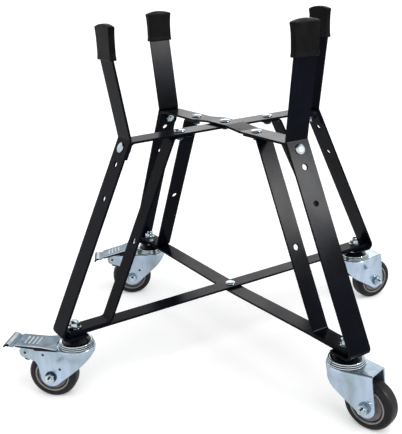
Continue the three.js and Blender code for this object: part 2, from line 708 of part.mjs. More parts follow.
// The pedal is a stamped channel over the top of the fork, with a hub on the pin between the ears.
// Its shoe is a cam round the pin that swings over the tyre as the tip is pressed.
function brakePedal() {
  const front = brakedFork.top + seatGap + pedalSheet; // top of the sheet over the fork
  const back = front + pedalRise;
  const start = lowerRingDiameter / 2 + pedalFrontGap;
  const flatEnd = pinPlace.x + pedalFlatPastPin;
  const tip = pinPlace.x + pedalTipPastPin;
  const path = [
    new THREE.Vector2(start, front),
    new THREE.Vector2(forkHeelReach, front),
    new THREE.Vector2(flatEnd, back),
    new THREE.Vector2(flatEnd + pedalDipLength, back - pedalDip),
    new THREE.Vector2(tip - pedalLipLength, back + pedalLip),
    new THREE.Vector2(tip, back - pedalTipDrop),
  ];
  const topAt = (reach) => front + (pedalRise * (reach - forkHeelReach)) / (flatEnd - forkHeelReach);
  const rightHalf = [
    [start - past, pedalFrontWidth / 2],
    [start + pedalTaper, pedalWidth / 2],
    [flatEnd, pedalWidth / 2],
    [tip - pedalLipLength, pedalTipWidth / 2],
    [tip + pedalSheet, pedalTipWidth / 2],
  ];
  const leftHalf = rightHalf.map(([x, y]) => [x, -y]).reverse();
  const plate = common(
    acrossWidth(stripOutline(path, pedalSheet, pedalSheet), 2 * pedalTipWidth),
    upright(polygon([...rightHalf, ...leftHalf]), front - 2 * pedalTipDrop, front + 2 * pedalTipDrop),
  );
  const inSheet = pedalSheet / 2; // how far what is welded to the sheet reaches into it
  const cheekStart = forkHeelReach + pedalCheekSetback;
  const cheekEnd = flatEnd - pedalDipLength;
  const cheek = acrossWidth(
    polygon([
      [cheekStart, topAt(cheekStart) - inSheet],
      [cheekStart, topAt(cheekStart) - pedalCheekDepth],
      [cheekEnd, topAt(cheekEnd) - 2 * pedalSheet],
      [cheekEnd, topAt(cheekEnd) - inSheet],
    ]),
    pedalSheet,
  );
  const cheekPlace = (pedalWidth - pedalSheet) / 2;
  const ribs = [];
  for (let i = 0; i < ribCount; i += 1) {
    const place = pinPlace.x + ribsAhead + (i - (ribCount - 1) / 2) * ribSpacing;
    const rib = polygon([
      [place - ribWidth / 2, topAt(place) - inSheet],
      [place + ribWidth / 2, topAt(place) - inSheet],
      [place + ribWidth / 4, topAt(place) + ribHeight],
      [place - ribWidth / 4, topAt(place) + ribHeight],
    ]);
    ribs.push(acrossWidth(rib, ribLength));
  }
  const lug = box(
    [pinPlace.x - pedalHubRadius, pinPlace.x + pedalHubRadius],
    [-pedalHubLength / 2, pedalHubLength / 2],
    [pinPlace.y, topAt(pinPlace.x - pedalHubRadius) - inSheet],
  );
  const whole = join(
    plate,
    cheek.clone().translate(0, cheekPlace, 0),
    cheek.clone().translate(0, -cheekPlace, 0),
    ...ribs,
    lug,
    crossBar(pinPlace, pedalHubRadius / Math.cos(Math.PI / holeSides), pedalHubLength, holeSides),
    acrossWidth(brakeShoe(), pedalHubLength - 2 * shoeInset, outlineSteps),
  );
  const pinHole = crossBar(pinPlace, pedalPinDiameter / 2 + holeClearance, 2 * pedalHubLength, holeSides);
  return cut(whole, pinHole).translate(-pinPlace.x, 0, -pinPlace.y);
}

// A sector round the pin. With the pedal pressed, its end points at the axle.
function brakeShoe() {
  const toAxle = axlePlace.clone().sub(pinPlace);
  const reach = toAxle.length() - wheelRadius - brakeGap;
  const end = toAxle.angle() + THREE.MathUtils.degToRad(brakeTravel);
  const start = end + THREE.MathUtils.degToRad(shoeSweep);
  const shape = new THREE.Shape();
  shape.absarc(pinPlace.x, pinPlace.y, reach, end, start, false);
  shape.lineTo(pinPlace.x, pinPlace.y);
  return shape.closePath();
}

// ---------------------------------------------------------------- the stand

const stand = new THREE.Group();
stand.position.set(standMiddle.x, standMiddle.y, 0);

function add(group, name, geometry, finish, x = 0, z = 0) {
  const mesh = new THREE.Mesh(geometry, finish());
  mesh.name = name;
  mesh.position.set(x, 0, z);
  group.add(mesh);
  return mesh;
}

// A bolt with its head outside the leg, and its nut on the tab inside.
function addWaistFastener(leg, name, geometries) {
  const tilt = Math.atan2(outOfLeg.x, outOfLeg.y);
  const boltPlace = alongLeg(waistBoltAlongLeg).addScaledVector(outOfLeg, seatGap);
  const nutPlace = alongLeg(waistBoltAlongLeg).addScaledVector(outOfLeg, -2 * step);
  add(leg, `waist_bolt_${name}`, geometries.bolt, finishes.zinc, boltPlace.x, boltPlace.y).rotation.y = tilt;
  add(leg, `waist_nut_${name}`, geometries.nut, finishes.zinc, nutPlace.x, nutPlace.y).rotation.y = tilt;
}

// An upright bolt through two straps, whose upper face is at a height.
function addUprightFastener(group, names, geometries, x, height) {
  add(group, names.bolt, geometries.bolt, finishes.zinc, x, height + seatGap);
  add(group, names.nut, geometries.nut, finishes.zinc, x, height - 2 * step);
}

const twoStrapGrip = 2 * step + seatGap;
const waistFastener = { bolt: hexBolt(waistBolt, twoStrapGrip), nut: hexNut(waistBolt) };
const smallFastener = { bolt: hexBolt(smallBolt, twoStrapGrip), nut: hexNut(smallBolt) };

add(stand, 'top_bar_lower', topBar(0), finishes.blackPaint).rotation.z = Math.PI / 4;
add(stand, 'top_bar_upper', topBar(step), finishes.blackPaint).rotation.z = -Math.PI / 4;
add(stand, 'base_bar_upper', baseBar(0), finishes.blackPaint).rotation.z = Math.PI / 4;
add(stand, 'base_bar_lower', baseBar(-step), finishes.blackPaint).rotation.z = -Math.PI / 4;
const topCentre = { bolt: 'top_centre_bolt', nut: 'top_centre_nut' };
const baseCentre = { bolt: 'base_centre_bolt', nut: 'base_centre_nut' };
addUprightFastener(stand, topCentre, smallFastener, 0, topBarHeight + step);
addUprightFastener(stand, baseCentre, smallFastener, 0, baseBarTop);

const legPieces = { outer: outerStrap(), inner: innerStrap(), cap: endCap(), stemNut: stemNut() };
for (const { name, angle } of corners) {
  const leg = new THREE.Group();
  leg.rotation.z = THREE.MathUtils.degToRad(angle);
  add(leg, `outer_strap_${name}`, legPieces.outer, finishes.blackPaint);
  add(leg, `inner_strap_${name}`, legPieces.inner, finishes.blackPaint);
  add(leg, `end_cap_${name}`, legPieces.cap, finishes.blackCap);
  add(leg, `stem_nut_${name}`, legPieces.stemNut, finishes.zinc, stemRadialPlace, innerFootTop + seatGap);
  addWaistFastener(leg, name, waistFastener);
  const flange = { bolt: `flange_bolt_${name}`, nut: `flange_nut_${name}` };
  addUprightFastener(leg, flange, smallFastener, flangeBoltPlace, topBarHeight);
  stand.add(leg);
}

const heads = { plain: swivelHead(plainFork.top), braked: swivelHead(brakedFork.top) };
const forks = { plain: fork(plainFork), braked: fork(brakedFork) };
const rolling = { wheel: wheel(), axle: axle() };
const brake = { pedal: brakePedal(), pin: pedalPin() };
for (const { name, angle, casterYaw, nutSide, braked, pressed } of corners) {
  const kind = braked ? 'braked' : 'plain';
  const caster = new THREE.Group();
  const corner = THREE.MathUtils.degToRad(angle);
  caster.position.set(stemRadialPlace * Math.cos(corner), stemRadialPlace * Math.sin(corner), 0);
  caster.rotation.z = THREE.MathUtils.degToRad(casterYaw);
  add(caster, `swivel_head_${name}`, heads[kind], finishes.zinc);
  add(caster, `fork_${name}`, forks[kind], finishes.zinc);
  add(caster, `wheel_${name}`, rolling.wheel, finishes.tyre, axlePlace.x, axlePlace.y);
  const bolt = add(caster, `axle_${name}`, rolling.axle, finishes.zinc, axlePlace.x, axlePlace.y);
  bolt.rotation.z = nutSide > 0 ? 0 : Math.PI;
  if (braked) {
    const pedal = add(caster, `brake_pedal_${name}`, brake.pedal, finishes.zinc, pinPlace.x, pinPlace.y);
    pedal.rotation.y = pressed ? THREE.MathUtils.degToRad(brakeTravel) : 0;
    add(caster, `pedal_pin_${name}`, brake.pin, finishes.zinc, pinPlace.x, pinPlace.y);
  }
  stand.add(caster);
}

export default stand;
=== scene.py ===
"""Looks for a rolling cradle that holds an egg-shaped charcoal grill.

Four bent steel legs with moulded caps, crossed bars above and below, and four swivel casters, of which
two have a foot brake. Shapes are modelled in millimetres, each in its own leg's or caster's frame, and
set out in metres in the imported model's frame.
"""

import json
import logging
import math
from collections.abc import Callable, Sequence
from dataclasses import dataclass, field
from enum import Enum
from typing import Any

import bmesh
import bpy
from mathutils import Matrix, Vector

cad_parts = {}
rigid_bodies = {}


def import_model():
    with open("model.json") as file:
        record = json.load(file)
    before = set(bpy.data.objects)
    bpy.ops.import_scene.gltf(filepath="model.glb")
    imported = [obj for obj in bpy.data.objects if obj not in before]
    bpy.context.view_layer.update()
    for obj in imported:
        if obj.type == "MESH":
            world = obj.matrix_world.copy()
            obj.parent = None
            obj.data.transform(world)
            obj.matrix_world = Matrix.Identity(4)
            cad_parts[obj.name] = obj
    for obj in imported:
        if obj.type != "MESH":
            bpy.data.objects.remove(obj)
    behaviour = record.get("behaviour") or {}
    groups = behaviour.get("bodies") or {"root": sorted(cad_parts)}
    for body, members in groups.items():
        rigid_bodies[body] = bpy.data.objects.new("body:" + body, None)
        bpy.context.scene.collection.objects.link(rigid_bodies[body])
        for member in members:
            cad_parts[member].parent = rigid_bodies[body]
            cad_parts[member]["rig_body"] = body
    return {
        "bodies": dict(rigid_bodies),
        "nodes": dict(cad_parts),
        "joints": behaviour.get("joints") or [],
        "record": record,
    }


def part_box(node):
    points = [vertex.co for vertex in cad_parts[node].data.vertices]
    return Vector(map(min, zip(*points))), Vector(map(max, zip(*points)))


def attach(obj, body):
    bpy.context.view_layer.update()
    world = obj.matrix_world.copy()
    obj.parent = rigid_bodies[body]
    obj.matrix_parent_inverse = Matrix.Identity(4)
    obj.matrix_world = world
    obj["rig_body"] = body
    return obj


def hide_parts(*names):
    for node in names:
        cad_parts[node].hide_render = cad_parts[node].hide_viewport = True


LOG = logging.getLogger("grill_stand")
MM = 0.001
AIM_HEIGHT = 300.0  # millimetres, where the softboxes point
Pair = tuple[float, float]
Profile = Sequence[Pair]


# ------------------------------------------------------------------ modelling, as by hand


def start(name: str, primitive: Callable[..., Any], **settings: Any) -> bpy.types.Object:
    """Adds a primitive and opens it in edit mode with all of it selected.

    Args:
        name: The new object's name.
        primitive: The operator that adds it.
        settings: The operator's settings.

    Returns:
        The new object.
    """
    to_object_mode()
    primitive(**settings)
    piece = bpy.context.object
    piece.name = name
    bpy.ops.object.transform_apply(location=True, rotation=True, scale=True)
    bpy.ops.object.mode_set(mode="EDIT")
    bpy.ops.mesh.select_all(action="SELECT")
    return piece


def to_object_mode() -> None:
    """Leaves edit mode and deselects everything."""
    if bpy.context.object and bpy.context.object.mode == "EDIT":
        bpy.ops.object.mode_set(mode="OBJECT")
    bpy.ops.object.select_all(action="DESELECT")


def only(piece: bpy.types.Object) -> None:
    """Makes one piece the selected and active one, in object mode.

    Args:
        piece: The piece.
    """
    to_object_mode()
    piece.select_set(True)
    bpy.context.view_layer.objects.active = piece


def place_vertices(piece: bpy.types.Object, where: Callable[[Vector], Sequence[float]]) -> None:
    """Moves each selected vertex of the piece in edit mode.

    Args:
        piece: The piece in edit mode.
        where: Gives a vertex's new place from its old one.
    """
    mesh = bmesh.from_edit_mesh(piece.data)
    for vertex in mesh.verts:
        if vertex.select:
            vertex.co = Vector(where(vertex.co))
    bmesh.update_edit_mesh(piece.data)


def extrude_to(step: Sequence[float]) -> None:
    """Extrudes what is selected and moves it by a step."""
    bpy.ops.mesh.extrude_region_move(TRANSFORM_OT_translate={"value": tuple(step)})


def turn(name: str, profile: Profile, sides: int = 48, hollow: bool = False) -> bpy.types.Object:
    """Models a round piece on the Z axis, by extruding and scaling a circle from station to station.

    Args:
        name: The piece's name.
        profile: The stations, as (radius, height).
        sides: The circle's sides.
        hollow: Whether the last station is bridged to the first, for a ring.

    Returns:
        The piece, in edit mode.
    """
    radius, height = profile[0]
    fill = "NOTHING" if hollow else "NGON"
    settings = {"vertices": sides, "radius": radius, "fill_type": fill, "location": (0, 0, height)}
    piece = start(name, bpy.ops.mesh.primitive_circle_add, **settings)
    for next_radius, next_height in profile[1:]:
        extrude_to((0, 0, next_height - height))
        share = next_radius / radius
        bpy.ops.transform.resize(value=(share, share, 1), center_override=(0, 0, next_height))
        radius, height = next_radius, next_height
    if hollow:
        bpy.ops.mesh.select_mode(type="EDGE")
        bpy.ops.mesh.select_all(action="DESELECT")
        bpy.ops.mesh.select_non_manifold()
        bpy.ops.mesh.bridge_edge_loops()
    return piece


def plate(name: str, outline: Profile, width: float, centre: float = 0) -> bpy.types.Object:
    """Models a flat piece from its outline in the side view, by extruding it across.

    Args:
        name: The piece's name.
        outline: The corners, as (x, z).
        width: The piece's width along Y.
        centre: The middle of that width.

    Returns:
        The piece, in edit mode.
    """
    settings = {"vertices": len(outline), "radius": 1, "fill_type": "NGON"}
    piece = start(name, bpy.ops.mesh.primitive_circle_add, **settings)
    corners = iter(outline)
    place_vertices(piece, lambda _: unpack(next(corners), centre - width / 2))
    extrude_to((0, width, 0))
    return piece


def unpack(corner: Sequence[float], across: float) -> tuple[float, float, float]:
    """Gives a corner of a side view its place across."""
    return (corner[0], across, corner[1])


def finished(
    piece: bpy.types.Object, edge: float = 0, segments: int = 2, angle: float = 35
) -> bpy.types.Object:
    """Turns the faces outwards, rounds the sharp edges and smooths the shading.

    Args:
        piece: The piece.
        edge: The width of the rounding.
        segments: The rounding's segments.
        angle: The smallest angle, in degrees, of an edge that counts as sharp.

    Returns:
        The same piece, in object mode.
    """
    only(piece)
    bpy.ops.object.mode_set(mode="EDIT")
    bpy.ops.mesh.select_all(action="SELECT")
    bpy.ops.mesh.remove_doubles(threshold=0.01)
    bpy.ops.mesh.normals_make_consistent(inside=False)
    only(piece)
    if edge > 0:
        bevel = piece.modifiers.new("rounded edges", "BEVEL")
        bevel.width = edge
        bevel.segments = segments
        bevel.limit_method = "ANGLE"
        bevel.angle_limit = math.radians(angle)
        bpy.ops.object.modifier_apply(modifier=bevel.name)
    shade(piece, angle + 5)
    return piece


def shade(piece: bpy.types.Object, angle: float) -> None:
    """Smooths the shading of all but the sharp edges, and keeps the large faces flat.

    Args:
        piece: The piece.
        angle: The smallest angle, in degrees, of an edge that stays sharp.
    """
    only(piece)
    bpy.ops.object.shade_smooth_by_angle(angle=math.radians(angle))
    weighted = piece.modifiers.new("flat faces", "WEIGHTED_NORMAL")
    weighted.keep_sharp = True
    weighted.weight = 80
    bpy.ops.object.modifier_apply(modifier=weighted.name)


def carve(
    piece: bpy.types.Object, tool: bpy.types.Object, operation: str = "DIFFERENCE"
) -> bpy.types.Object:
    """Cuts a piece with a tool, which is then removed.

    Args:
        piece: The piece.
        tool: The solid that cuts it.
        operation: The Boolean modifier's operation.

    Returns:
        The same piece, in object mode.
    """
    for solid in (tool, piece):
        only(solid)
        bpy.ops.object.mode_set(mode="EDIT")
        bpy.ops.mesh.select_all(action="SELECT")
        bpy.ops.mesh.normals_make_consistent(inside=False)
    only(piece)
    boolean = piece.modifiers.new("cut", "BOOLEAN")
    boolean.operation = operation
    boolean.solver = "EXACT"
    boolean.object = tool
    bpy.ops.object.modifier_apply(modifier=boolean.name)
    bpy.data.objects.remove(tool)
    return piece


def moved(piece: bpy.types.Object, place: Matrix) -> bpy.types.Object:
    """Moves a piece's mesh, so that its object stays at the origin.

    Args:
        piece: The piece.
        place: Where to, from where the mesh is.

    Returns:
        The same piece, in object mode.
    """
    to_object_mode()
    piece.data.transform(place)
    return piece


def copied(piece: bpy.types.Object, place: Matrix) -> bpy.types.Object:
    """Copies a piece with its own mesh, and moves the copy's mesh.

    Args:
        piece: The piece, which stays as it is.
        place: Where the copy goes, from where the piece is.

    Returns:
        The copy.
    """
    to_object_mode()
    twin = piece.copy()
    twin.data = piece.data.copy()
    bpy.context.scene.collection.objects.link(twin)
    return moved(twin, place)


def clear_away(*masters: bpy.types.Object) -> None:
    """Removes pieces that were only modelled to be copied.

    Args:
        masters: The pieces.
    """
    to_object_mode()
    for master in masters:
        bpy.data.objects.remove(master)


def united(name: str, *pieces: bpy.types.Object) -> bpy.types.Object:
    """Joins pieces that are one part into one object.

    Args:
        name: The object's name.
        pieces: The pieces, of which the first takes in the others.

    Returns:
        The object.
    """
    only(pieces[0])
    for piece in pieces:
        piece.select_set(True)
    bpy.ops.object.join()
    pieces[0].name = name
    return pieces[0]


def rotation(degrees: float, axis: str) -> Matrix:
    """A turn about the X, Y or Z axis. In the side view, a positive one about Y takes Z to X."""
    return Matrix.Rotation(math.radians(degrees), 4, axis)


def at(x: float, z: float) -> Matrix:
    """A move to a place in the side view."""
    return Matrix.Translation((x, 0, z))


def cutter(radius: float, bottom: float, top: float, sides: int = 24) -> bpy.types.Object:
    """A round cutter on the Z axis, for a hole or a bore."""
    return turn("cutter", [(radius, bottom), (radius, top)], sides)


ON_ITS_SIDE = rotation(-90, "X")  # takes a piece's Z axis to +Y
OVER = rotation(180, "X")  # turns a piece upside down


# ------------------------------------------------------------------ materials


def linear(hex_colour: str) -> tuple[float, float, float, float]:
    """Turns an sRGB hex colour into linear light."""
    parts = [int(hex_colour[i : i + 2], 16) / 255 for i in (1, 3, 5)]
    return (*(c / 12.92 if c <= 0.04045 else ((c + 0.055) / 1.055) ** 2.4 for c in parts), 1.0)


def add_node(
    tree: bpy.types.NodeTree,
    kind: str,
    settings: dict[str | int, Any] | None = None,
    links: dict[str | int, bpy.types.NodeSocket] | None = None,
) -> bpy.types.Node:
    """Adds a node with its settings and links.

    Args:
        tree: The node tree.
        kind: The node's type.
        settings: Values by the name of an input or of an attribute.
        links: The sockets that feed its inputs, by the input's name.

    Returns:
        The node.
    """
    node = tree.nodes.new(kind)
    for key, value in (settings or {}).items():
        if isinstance(key, int) or key in node.inputs:
            node.inputs[key].default_value = value
        else:
            setattr(node, key, value)
    for key, socket in (links or {}).items():
        tree.links.new(socket, node.inputs[key])
    return node


@dataclass(frozen=True)
class Finish:
    """A finish: what the stuff is, and how its surface was made."""

    name: str
    slot: str
    colour: str
    second: str  # the colour that it drifts towards
    roughness: float
    drift: float = 60.0  # millimetres, size of the soft patches of the second colour
    grain: float = 2.0  # millimetres, size of the surface's grain
    grain_height: float = 0.02  # millimetres
    roughness_spread: float = 0.08
    metallic: float = 0.0
    coat: float = 0.0
    coat_roughness: float = 0.1
    specular: float = 0.5
    stretch: tuple[float, float, float] = (1.0, 1.0, 1.0)  # of the patches, along each axis

    def build(self) -> bpy.types.Material:
        """Makes the material's nodes.

        Returns:
            The material.
        """
        material = bpy.data.materials.new(self.name)
        material.use_nodes = True
        tree = material.node_tree
        tree.nodes.clear()
        place = add_node(tree, "ShaderNodeTexCoord").outputs["Object"]
        spread = add_node(tree, "ShaderNodeMapping", {"Scale": self.stretch}, {"Vector": place})
        patches = add_node(
            tree,
            "ShaderNodeTexNoise",
            {"Scale": 1 / (self.drift * MM), "Detail": 3.0, "Roughness": 0.55},
            {"Vector": spread.outputs["Vector"]},
        )
        share = add_node(
            tree,
            "ShaderNodeMapRange",
            {"From Min": 0.35, "From Max": 0.68},
            {"Value": patches.outputs["Fac"]},
        )
        colour = add_node(
            tree,
            "ShaderNodeMixRGB",
            {"Color1": linear(self.colour), "Color2": linear(self.second)},
            {"Fac": share.outputs["Result"]},
        )
        grain = add_node(
            tree,
            "ShaderNodeTexNoise",
            {"Scale": 1 / (self.grain * MM), "Detail": 2.0},
            {"Vector": place},
        )
        rough = add_node(
            tree,
            "ShaderNodeMapRange",
            {
                "From Min": 0.3,
                "From Max": 0.7,
                "To Min": self.roughness - self.roughness_spread / 2,
                "To Max": self.roughness + self.roughness_spread / 2,
            },
            {"Value": patches.outputs["Fac"]},
        )
        bump = add_node(
            tree,
            "ShaderNodeBump",
            {"Distance": self.grain_height * MM, "Strength": 1.0},
            {"Height": grain.outputs["Fac"]},
        )
        shader = add_node(
            tree,
            "ShaderNodeBsdfPrincipled",
            {
                "Metallic": self.metallic,
                "Coat Weight": self.coat,
                "Coat Roughness": self.coat_roughness,
                "Specular IOR Level": self.specular,
            },
            {
                "Base Color": self.tinted(tree, place, colour.outputs["Color"]),
                "Roughness": rough.outputs["Result"],
                "Normal": bump.outputs["Normal"],
            },
        )
        add_node(tree, "ShaderNodeOutputMaterial", links={"Surface": shader.outputs["BSDF"]})
        return material

    def tinted(
        self, tree: bpy.types.NodeTree, place: bpy.types.NodeSocket, colour: bpy.types.NodeSocket
    ) -> bpy.types.NodeSocket:
        """Lays any further tone over the colour. Most finishes have none.

        Args:
            tree: The node tree.
            place: The Object coordinates.
            colour: The colour so far.

        Returns:
            The colour that the shader reads.
        """
        return colour


@dataclass(frozen=True)
class ScuffedFinish(Finish):
    """A finish with fine pale specks where the surface is rubbed or dusty."""

    speck_colour: str = "#8a8a8c"
    speck_size: float = 1.4  # millimetres
    speck_share: float = 0.35

    def tinted(
        self, tree: bpy.types.NodeTree, place: bpy.types.NodeSocket, colour: bpy.types.NodeSocket
    ) -> bpy.types.NodeSocket:
        """Lays the specks over the colour.

        Args:
            tree: The node tree.
            place: The Object coordinates.
            colour: The colour so far.

        Returns:
            The colour that the shader reads.
        """
        specks = add_node(
            tree,
            "ShaderNodeTexNoise",
            {"Scale": 1 / (self.speck_size * MM), "Detail": 4.0},
            {"Vector": place},
        )
        share = add_node(
            tree,
            "ShaderNodeMapRange",
            {"From Min": 0.58, "From Max": 0.8, "To Max": self.speck_share},
            {"Value": specks.outputs["Fac"]},
        )
        mixed = add_node(
            tree,
            "ShaderNodeMixRGB",
            {"Color2": linear(self.speck_colour)},
            {"Fac": share.outputs["Result"], "Color1": colour},
        )
        return mixed.outputs["Color"]


class Finishes:
    """Every finish of the stand, made once."""

    def __init__(self) -> None:
        """Makes the materials."""
        finishes = [
            # Polyester powder over steel: black with a blue cast, a fine orange peel and a clear gloss.
            Finish(
                "gloss_powder_coat",
                "black_paint",
                "#07080d",
                "#0b0e1a",
                0.2,
                grain=1.6,
                grain_height=0.008,
                specular=0.04,
            ),
            # Dip-moulded vinyl: softer and blacker than the paint, with a satin skin.
            Finish(
                "dip_moulded_vinyl",
                "cap_plastic",
                "#050506",
                "#0a0a0d",
                0.34,
                drift=18,
                grain=0.9,
                grain_height=0.015,
                roughness_spread=0.16,
                specular=0.06,
            ),
            # Electroplated zinc with a clear blue chromate: pale, with soft cloudy tones.
            Finish(
                "blue_zinc_plate",
                "zinc",
                "#dbe6ec",
                "#b0c0c9",
                0.16,
                drift=14,
                metallic=1.0,
                grain=1.2,
                grain_height=0.008,
            ),
            # The same plate on drawn sheet, where the tones run down the cheeks in broad bands.
            Finish(
                "zinc_on_pressed_sheet",
                "zinc",
                "#c8daf0",
                "#a0b2ba",
                0.22,
                drift=30,
                metallic=0.85,
                grain=1.5,
                grain_height=0.012,
                stretch=(1.0, 1.0, 0.22),
            ),
            # The pedal is stamped from darker, duller plate. On the other casters' axle washers, this
            # dull zinc is painted shade.
            Finish(
                "zinc_on_stamped_pedal",
                "zinc",
                "#92a5b1",
                "#667989",
                0.28,
                drift=22,
                metallic=0.9,
                grain=1.0,
                grain_height=0.02,
            ),
            # Thermoplastic rubber: charcoal, matt, with a little dust on it.
            ScuffedFinish(
                "charcoal_tyre_rubber",
                "tyre_rubber",
                "#111113",
                "#202024",
                0.42,
                drift=26,
                grain=0.8,
                grain_height=0.03,
                specular=0.22,
                speck_share=0.12,
            ),
            # Moulded polypropylene: the pale, even, satin bead round the wheel's core.
            Finish("grey_polypropylene", "tyre_rubber", "#7d7b7c", "#918f8f", 0.4, drift=16),
            # The same plastic in the brown-grey of the core, from a polished mould, so with more gloss.
            Finish(
                "polished_brown_polypropylene",
                "tyre_rubber",
                "#625c5d",
                "#7c7576",
                0.3,
                drift=12,
                coat=0.3,
                grain=1.4,
                grain_height=0.015,
            ),
            # Dark, dull steel: on one caster's washers and in the hollows of the pins' peened ends it is
            # painted shade; it is also on the nuts under the bars.
            Finish("black_oxide_steel", "zinc", "#2a2f35", "#48505a", 0.34, drift=8, metallic=1.0),
            # Nearly black, with little shine: painted shade in the gaps between the swivel head's rings.
            Finish(
                "race_grease", "zinc", "#0d0f12", "#17191d", 0.4, drift=6, grain=0.7, specular=0.12
            ),
            # Black, smooth and a little glossy: painted shade and painted reflection of the dark foot, in
            # the dish of the swivel head.
            Finish(
                "black_nitrile_seal",
                "zinc",
                "#08090b",
                "#111317",
                0.28,
                drift=7,
                grain=0.8,
                specular=0.3,
            ),
            # Dark, with a warm cast: painted shade on the undersides of the pedal's bent edges.
            Finish("pooled_chromate", "zinc", "#1b171a", "#332b30", 0.36, drift=10, metallic=0.9),
            # Glass-filled nylon: the brake shoe, black and matt.
            Finish("black_nylon_shoe", "zinc", "#101012", "#1c1c1f", 0.5, drift=9),
        ]
        self.slots = {finish.name: finish.slot for finish in finishes}
        self.materials = {finish.name: finish.build() for finish in finishes}


# ------------------------------------------------------------------ where things stand


class CasterKind(Enum):
    """The two kinds of caster."""

    PLAIN = "plain"
    BRAKED = "braked"


@dataclass(frozen=True)
class Corner:
    """A leg and its caster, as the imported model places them, in millimetres."""

    name: str
    leg: Matrix
    caster: Matrix
    kind: CasterKind
    nut_side: int  # 1 where the axle's nut is on the caster's +Y side, or else -1
    pressed: bool


@dataclass
class Site:
    """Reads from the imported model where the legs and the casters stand."""

    frame: dict[str, Any]
    finishes: Finishes
    nut_sides: dict[str, int] = field(
        default_factory=lambda: {"front_left": 1, "front_right": -1, "back_right": -1, "back_left": 1}
    )

    def __post_init__(self) -> None:
        """Finds the middle of the stand and the four corners."""
        low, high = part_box("top_centre_bolt")
        self.middle = Matrix.Translation(((low.x + high.x) / 2 / MM, (low.y + high.y) / 2 / MM, 0))
        joints = {joint["name"]: joint for joint in self.frame["joints"]}
        self.corners = [self.corner(name, joints) for name in self.nut_sides]

    def corner(self, name: str, joints: dict[str, dict[str, Any]]) -> Corner:
        """Describes one corner from the joints of its caster.

        Args:
            name: The corner's name.
            joints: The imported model's joints, by name.

        Returns:
            The corner.
        """
        stem = Vector(joints[f"swivel_{name}"]["pos_m"]) / MM
        axis = joints[f"roll_{name}"]["axis"]
        brake = joints.get(f"brake_{name}")
        out = stem - self.middle.translation
        yaw = math.atan2(-axis[0], axis[1])
        return Corner(
            name=name,
            leg=self.middle @ Matrix.Rotation(math.atan2(out.y, out.x), 4, "Z"),
            caster=Matrix.Translation((stem.x, stem.y, 0)) @ Matrix.Rotation(yaw, 4, "Z"),
            kind=CasterKind.BRAKED if brake else CasterKind.PLAIN,
            nut_side=self.nut_sides[name],
            pressed=bool(brake) and brake["range_deg"][0] < 0,
        )

    def set_out(
        self, master: bpy.types.Object, name: str, place: Matrix, node: str, finish: str
    ) -> bpy.types.Object:
        """Sets out one copy of a piece in place of its CAD node.

        Args:
            master: The piece as modelled, in millimetres.
            name: The copy's name.
            place: The copy's place, in millimetres.
            node: The CAD node that it stands for.
            finish: The name of its finish.

        Returns:
            The copy.
        """
        piece = copied(master, Matrix.Scale(MM, 4) @ place)
        piece.name = name
        piece.data.name = name
        piece.data.materials.clear()
        piece.data.materials.append(self.finishes.materials[finish])
        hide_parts(node)
        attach(piece, self.frame["nodes"][node]["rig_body"])
        LOG.info("%s: %d faces, for %s", name, len(piece.data.polygons), node)
        return piece


# ------------------------------------------------------------------ flat steel


